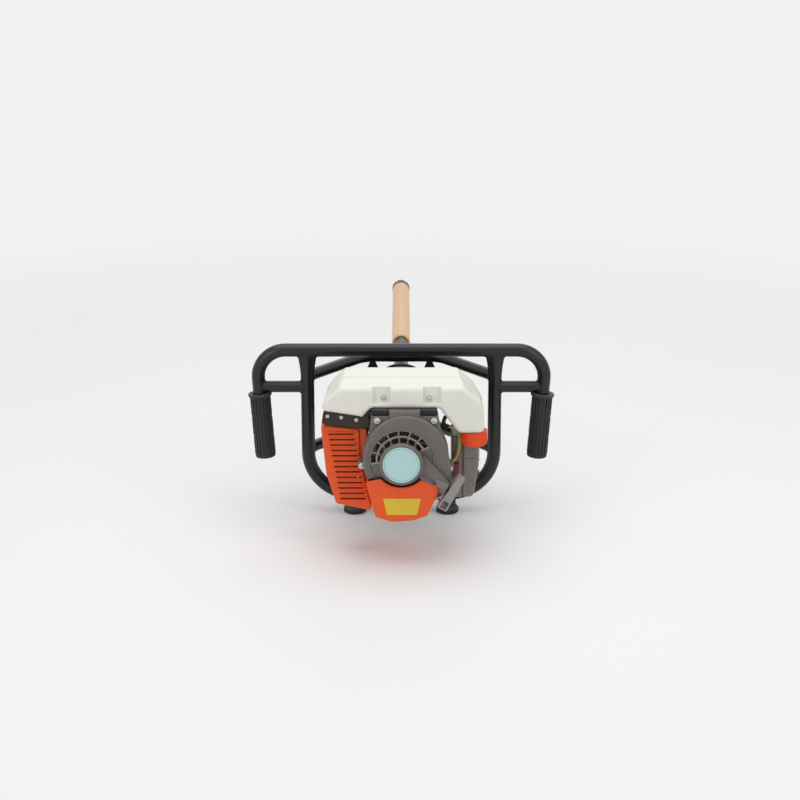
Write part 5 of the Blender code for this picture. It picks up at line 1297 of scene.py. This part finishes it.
def make_gearbox():
    housing = lathe("housing", [(51.5, 330), (57, 330), (57, 322), (55.6, 320.5), (55.6, 249), (57, 247.5),
                                (57, 243), (54, 240), (12, 240), (12, 246), (51.5, 246)], ring=True,
                    sides=128, soft=1.2)
    fin = slab("fin", [(54, 250), (57, 250), (57, 320), (54, 320)], -1.6, 1.6, "Y", 0.8, 2)
    fins = round_copies(fin, 24)
    boss = lathe("boss", [(0, 306), (5, 310), (5, 330), (0, 330)], (LID_BOLTS_R, 0, 0), UP, 32)
    bosses = round_copies(boss, 6)
    fuse(housing, fins, bosses)
    settle_in(housing, "ribbed_gearbox", GEARBOX_PAINT, "gearbox_housing")
    lid = lathe("lid", [(18, 372.3), (36, 372.3), (38, 368.3), (50, 340.3), (57, 338.3), (57, 330.3),
                        (47.5, 330.3), (32, 343.3), (26, 345.3), (26, 361.3), (18, 361.3)], ring=True,
                sides=128, soft=1.2)
    web = slab("web", [(34, 371), (38, 371), (54, 338), (34, 338)], -2, 2, "Y", 1, 3)
    fuse(lid, round_copies(web, 6, first=30))
    cut(lid, *[bar("seat", spot, (spot[0], 345, spot[2]), 6.4) for spot, _ in ring_of(LID_BOLTS_R, 337.8, 6)])
    settle_in(lid, "gearbox_lid", GEARBOX_PAINT, "gearbox_cover")
    plug_hex = slab("plug", rounded(hexagon(7.5), 0.8), 0, 5.5, "Z", 0.6)
    plug_seat = lathe("seat", [(0, -3), (9, -3), (9, 0.5), (0, 0.5)], ORIGIN, UP, 40)
    plug = gather("oil_plug", [plug_hex, plug_seat])
    plug.data.transform(Matrix.Translation((0, 300, 56.6)))
    settle_in(plug, "oil_plug", SCREW_STEEL)
    plate = slab("plate", arc((0, 0), 50, 0, 357, 119), 372.6, 378.6, edge=0.8, segments=2)
    tabs = [slab("tab", rounded([(x - 1.5, 63), (x + 1.5, 63), (x + 4.5, 54), (x + 11, 39), (x + 11, -37),
                                 (x + 5, -61), (x - 5, -61), (x - 11, -37), (x - 11, 39), (x - 4.5, 54)],
                                1), 373.1, 378.1, edge=0.8, segments=2)
            for x in (-PLATE_SPACING, PLATE_SPACING)]
    fuse(plate, *tabs)
    cut(plate, bar("hole", (0, 370, 0), (0, 381, 0), 24))
    settle_in(plate, "gearbox_frame_plate", FRAME_PAINT, "frame_plate")


def inlet_nut(radius, low, high):
    return slab("nut", rounded([(x, y + INLET_Y) for x, y in hexagon(radius)], 0.8), low, high, "Z", 0.8)


def inlet_bar(name, start_z, end_z, radius, soft=0.0):
    return bar(name, (0, INLET_Y, start_z), (0, INLET_Y, end_z), radius, soft=soft)


def make_water_side():
    body = lathe("swivel", [(15.3, 444.9), (25, 444.9), (27, 442.9), (27, 385.9), (34, 385.9), (34, 378.9),
                            (15.3, 378.9)], ring=True, sides=112, soft=1)
    grooves = [lathe("groove", [(26.2, y + 1), (28, y + 1), (28, y - 1), (26.2, y - 1)], ring=True, soft=0)
               for y in (396, 434)]
    boss = inlet_bar("boss", -17, -40, 13, 0.8)
    fuse(body, boss)
    cut(body, *grooves)
    cut(body, inlet_bar("port", -21, -48, 8.3))
    settle_in(body, "water_swivel", CAST_ALLOY, "swivel_body")
    valve = block("valve", (-13, 13), (INLET_Y - 13, INLET_Y + 13), (-94, -58), 4, 5)
    nipple = inlet_bar("nipple", -62, -30, 8)
    stem = bar("stem", (10, INLET_Y, -76), (18, INLET_Y, -76), 6, soft=0.5)
    nuts = [inlet_nut(12.5, low, low + 7) for low in (-60, -53, -94)]
    fuse(valve, nipple, stem, *nuts)
    cut(valve, inlet_bar("bore", -96, -28, 5))
    settle_in(valve, "tap_body", TURNED_BRASS, "valve_body")
    hub = lathe("hub", [(0, 0), (7, 0), (7, 4), (0, 4)], (18.3, INLET_Y, -76), (1, 0, 0), 48)
    arm = slab("arm", rounded([(409, -76), (421, -76), (421.5, -124), (419, -128), (411, -128),
                               (408.5, -124)], 3), 19.3, 22.3, "X", 1.2, 3)
    settle_in(fuse(hub, arm), "tap_lever", RED_MOULDING, "valve_lever", body="tap")
    profile = [(4, 77.7), (9, 77.7), (9, 66), (7, 64.7)]
    for z in (29.7, 19.7, 9.7):
        profile += [(6.5, z), (8, z - 1), (6.2, z - 8)]
    profile += [(6, 0), (4, 0)]
    barb = lathe("barb", profile, (0, INLET_Y, FLOOR_Z), UP, 56, True, 0.4)
    nut = inlet_nut(11.2, -104.5, -95.2)
    cut(nut, inlet_bar("nut_bore", -110, -90, 4))
    settle_in(fuse(barb, nut), "barbed_inlet", TURNED_BRASS, "hose_barb")


def make_drill_string():
    carrier = lathe("carrier", [(0, 469.7), (8, 469.7), (8, 451.7), (15, 451.7), (15, 289), (40, 289),
                                (40, 279), (0, 279)], sides=112)
    pin = bar("pin", (30, 0, 257), (30, 0, 281), 5, soft=0.6)
    fuse(carrier, round_copies(pin, 3, first=-90))
    settle_in(carrier, "carrier_and_spindle", MACHINED_STEEL, "planet_carrier", body="spindle")
    rod = lathe("rod", [(6, 700), (12.5, 700), (12.5, 452), (8.3, 452), (8.3, 472), (6, 472)],
                ring=True, sides=96)
    flats = [block("flat", (-20, 20), (488, 512), (10.6, 20)),
             block("flat", (-20, 20), (488, 512), (-20, -10.6))]
    collar = lathe("collar", [(12, 470), (14.2, 470), (14.2, 484), (12, 484)], ring=True, soft=0.8)
    fuse(rod, collar)
    cut(rod, *flats)
    settle_in(rod, "drill_rod_turned", BLACKED_STEEL, "drill_rod", body="spindle")
    barrel = lathe("barrel", [(13.75, 1058), (15.55, 1058), (15.55, 1068), (16.75, 1068), (16.75, 680),
                              (14.75, 678), (12.8, 678), (12.8, 702), (13.75, 708)],
                   ring=True, sides=128, soft=0.4)
    settle_in(barrel, "tan_barrel", BARREL_TAN, "core_barrel", body="spindle")
    bit = lathe("bit", [(12.95, 1088.3), (17.4, 1088.3), (17.4, 1076.3), (16.75, 1075.3), (16.75, 1068.3),
                        (15.25, 1068.3), (15.25, 1058.3), (12.95, 1058.3)], ring=True, sides=96, soft=0.3)
    slot = block("slot", (8, 22), (-1.3, 1.3), (1080.3, 1092), 0.4)
    cut(bit, round_copies(slot, 6))
    settle_in(bit, "segmented_bit", BLACKED_STEEL, "core_bit", body="spindle")


make_clutch_housing()
make_gearbox()
make_water_side()
make_drill_string()
repaint(MACHINED_STEEL, "crankshaft", "clutch_drum", "sun_shaft", "ring_gear", "planet_1", "planet_2",
        "planet_3", "spindle_bearing", "recoil_spring")
repaint(BLACKED_STEEL, "clutch_rotor")
repaint(BLACK_MOULDING, "recoil_reel")
repaint(ROPE_BRAID, "rope_winding")
repaint(FILTER_FOAM, "air_filter")


# Screws and bolts

def make_pan_screw():
    head = lathe("screw", [(0, 2.4), (1.6, 2.2), (2.9, 1.3), (3.3, 0.2), (3.3, 0), (0, 0)],
                 ORIGIN, UP, 28, soft=0.2)
    cut(head, block("cross", (-0.45, 0.45), (-2, 2), (1.1, 3)),
        block("cross", (-2, 2), (-0.45, 0.45), (1.1, 3)))
    washer = lathe("washer", [(0, 0.5), (4.9, 0.5), (4.9, -0.4), (0, -0.4)], ORIGIN, UP, 32, soft=0.15)
    return gather("pan_screw", [head, washer])


def make_hex_bolt():
    head = slab("bolt", rounded(hexagon(5.6), 0.5, 2), 0.8, 5, "Z", 0.5, 2)
    washer = lathe("washer", [(0, 0.8), (6.1, 0.8), (6.1, -0.4), (0, -0.4)], ORIGIN, UP, 32, soft=0.2)
    return gather("hex_bolt", [head, washer])


def make_socket_screw():
    head = lathe("socket", [(0, 4.6), (4.1, 4.6), (4.1, -0.4), (0, -0.4)], ORIGIN, UP, 32, soft=0.4)
    cut(head, slab("key", hexagon(2.4), 2, 6, "Z"))
    return head


def fasten(name, fastener, finish, spots, seed, size=1.0):
    """Fasteners of one kind at (place, way) spots."""
    data = bpy.data.meshes.new(name)
    data.from_pydata([place for place, _ in spots], [], [])
    ways = data.attributes.new("way", "FLOAT_VECTOR", "POINT")
    for number, (_, way) in enumerate(spots):
        ways.data[number].vector = way
    fastener.data.transform(Matrix.Scale(size, 4))
    made = grow(link(name, data), FASTENER_TREE, Fastener=fastener, Seed=seed)
    bpy.data.objects.remove(fastener)
    return settle_in(made, name, finish, weld=0.00001)


def make_fasteners():
    cover = [(x, 29.4, z) for x, z in TOP_EARS] + [(x, 31.6, z) for x, z, _ in SIDE_EARS]
    cover += [(-27, 48.6, 92), (43, 48.6, 91)]
    shield = [(-113, 49.6, 62), (-92, 49.6, 60), (-69, 49.6, 56)]
    for name, spots, seed, size in (("cover_screws", cover, 3, 1.0), ("shield_screws", shield, 5, 0.6)):
        fasten(name, make_pan_screw(), SCREW_STEEL, [(spot, (0, -1, 0)) for spot in spots], seed, size)
    fasten("lid_bolts", make_hex_bolt(), BLACK_BOLTS, ring_of(LID_BOLTS_R, 338.2, 6), 7)
    fasten("plate_bolts", make_hex_bolt(), BLACK_BOLTS, ring_of(42.5, 379.0, 4, 45), 11)
    fasten("swivel_screws", make_socket_screw(), SCREW_STEEL, ring_of(30.6, 386.2, 4), 13, 0.72)
    fasten("bell_screws", make_socket_screw(), SCREW_STEEL, ring_of(BELL_BOLTS_R, 136.3, 4, 45), 17)


make_fasteners()
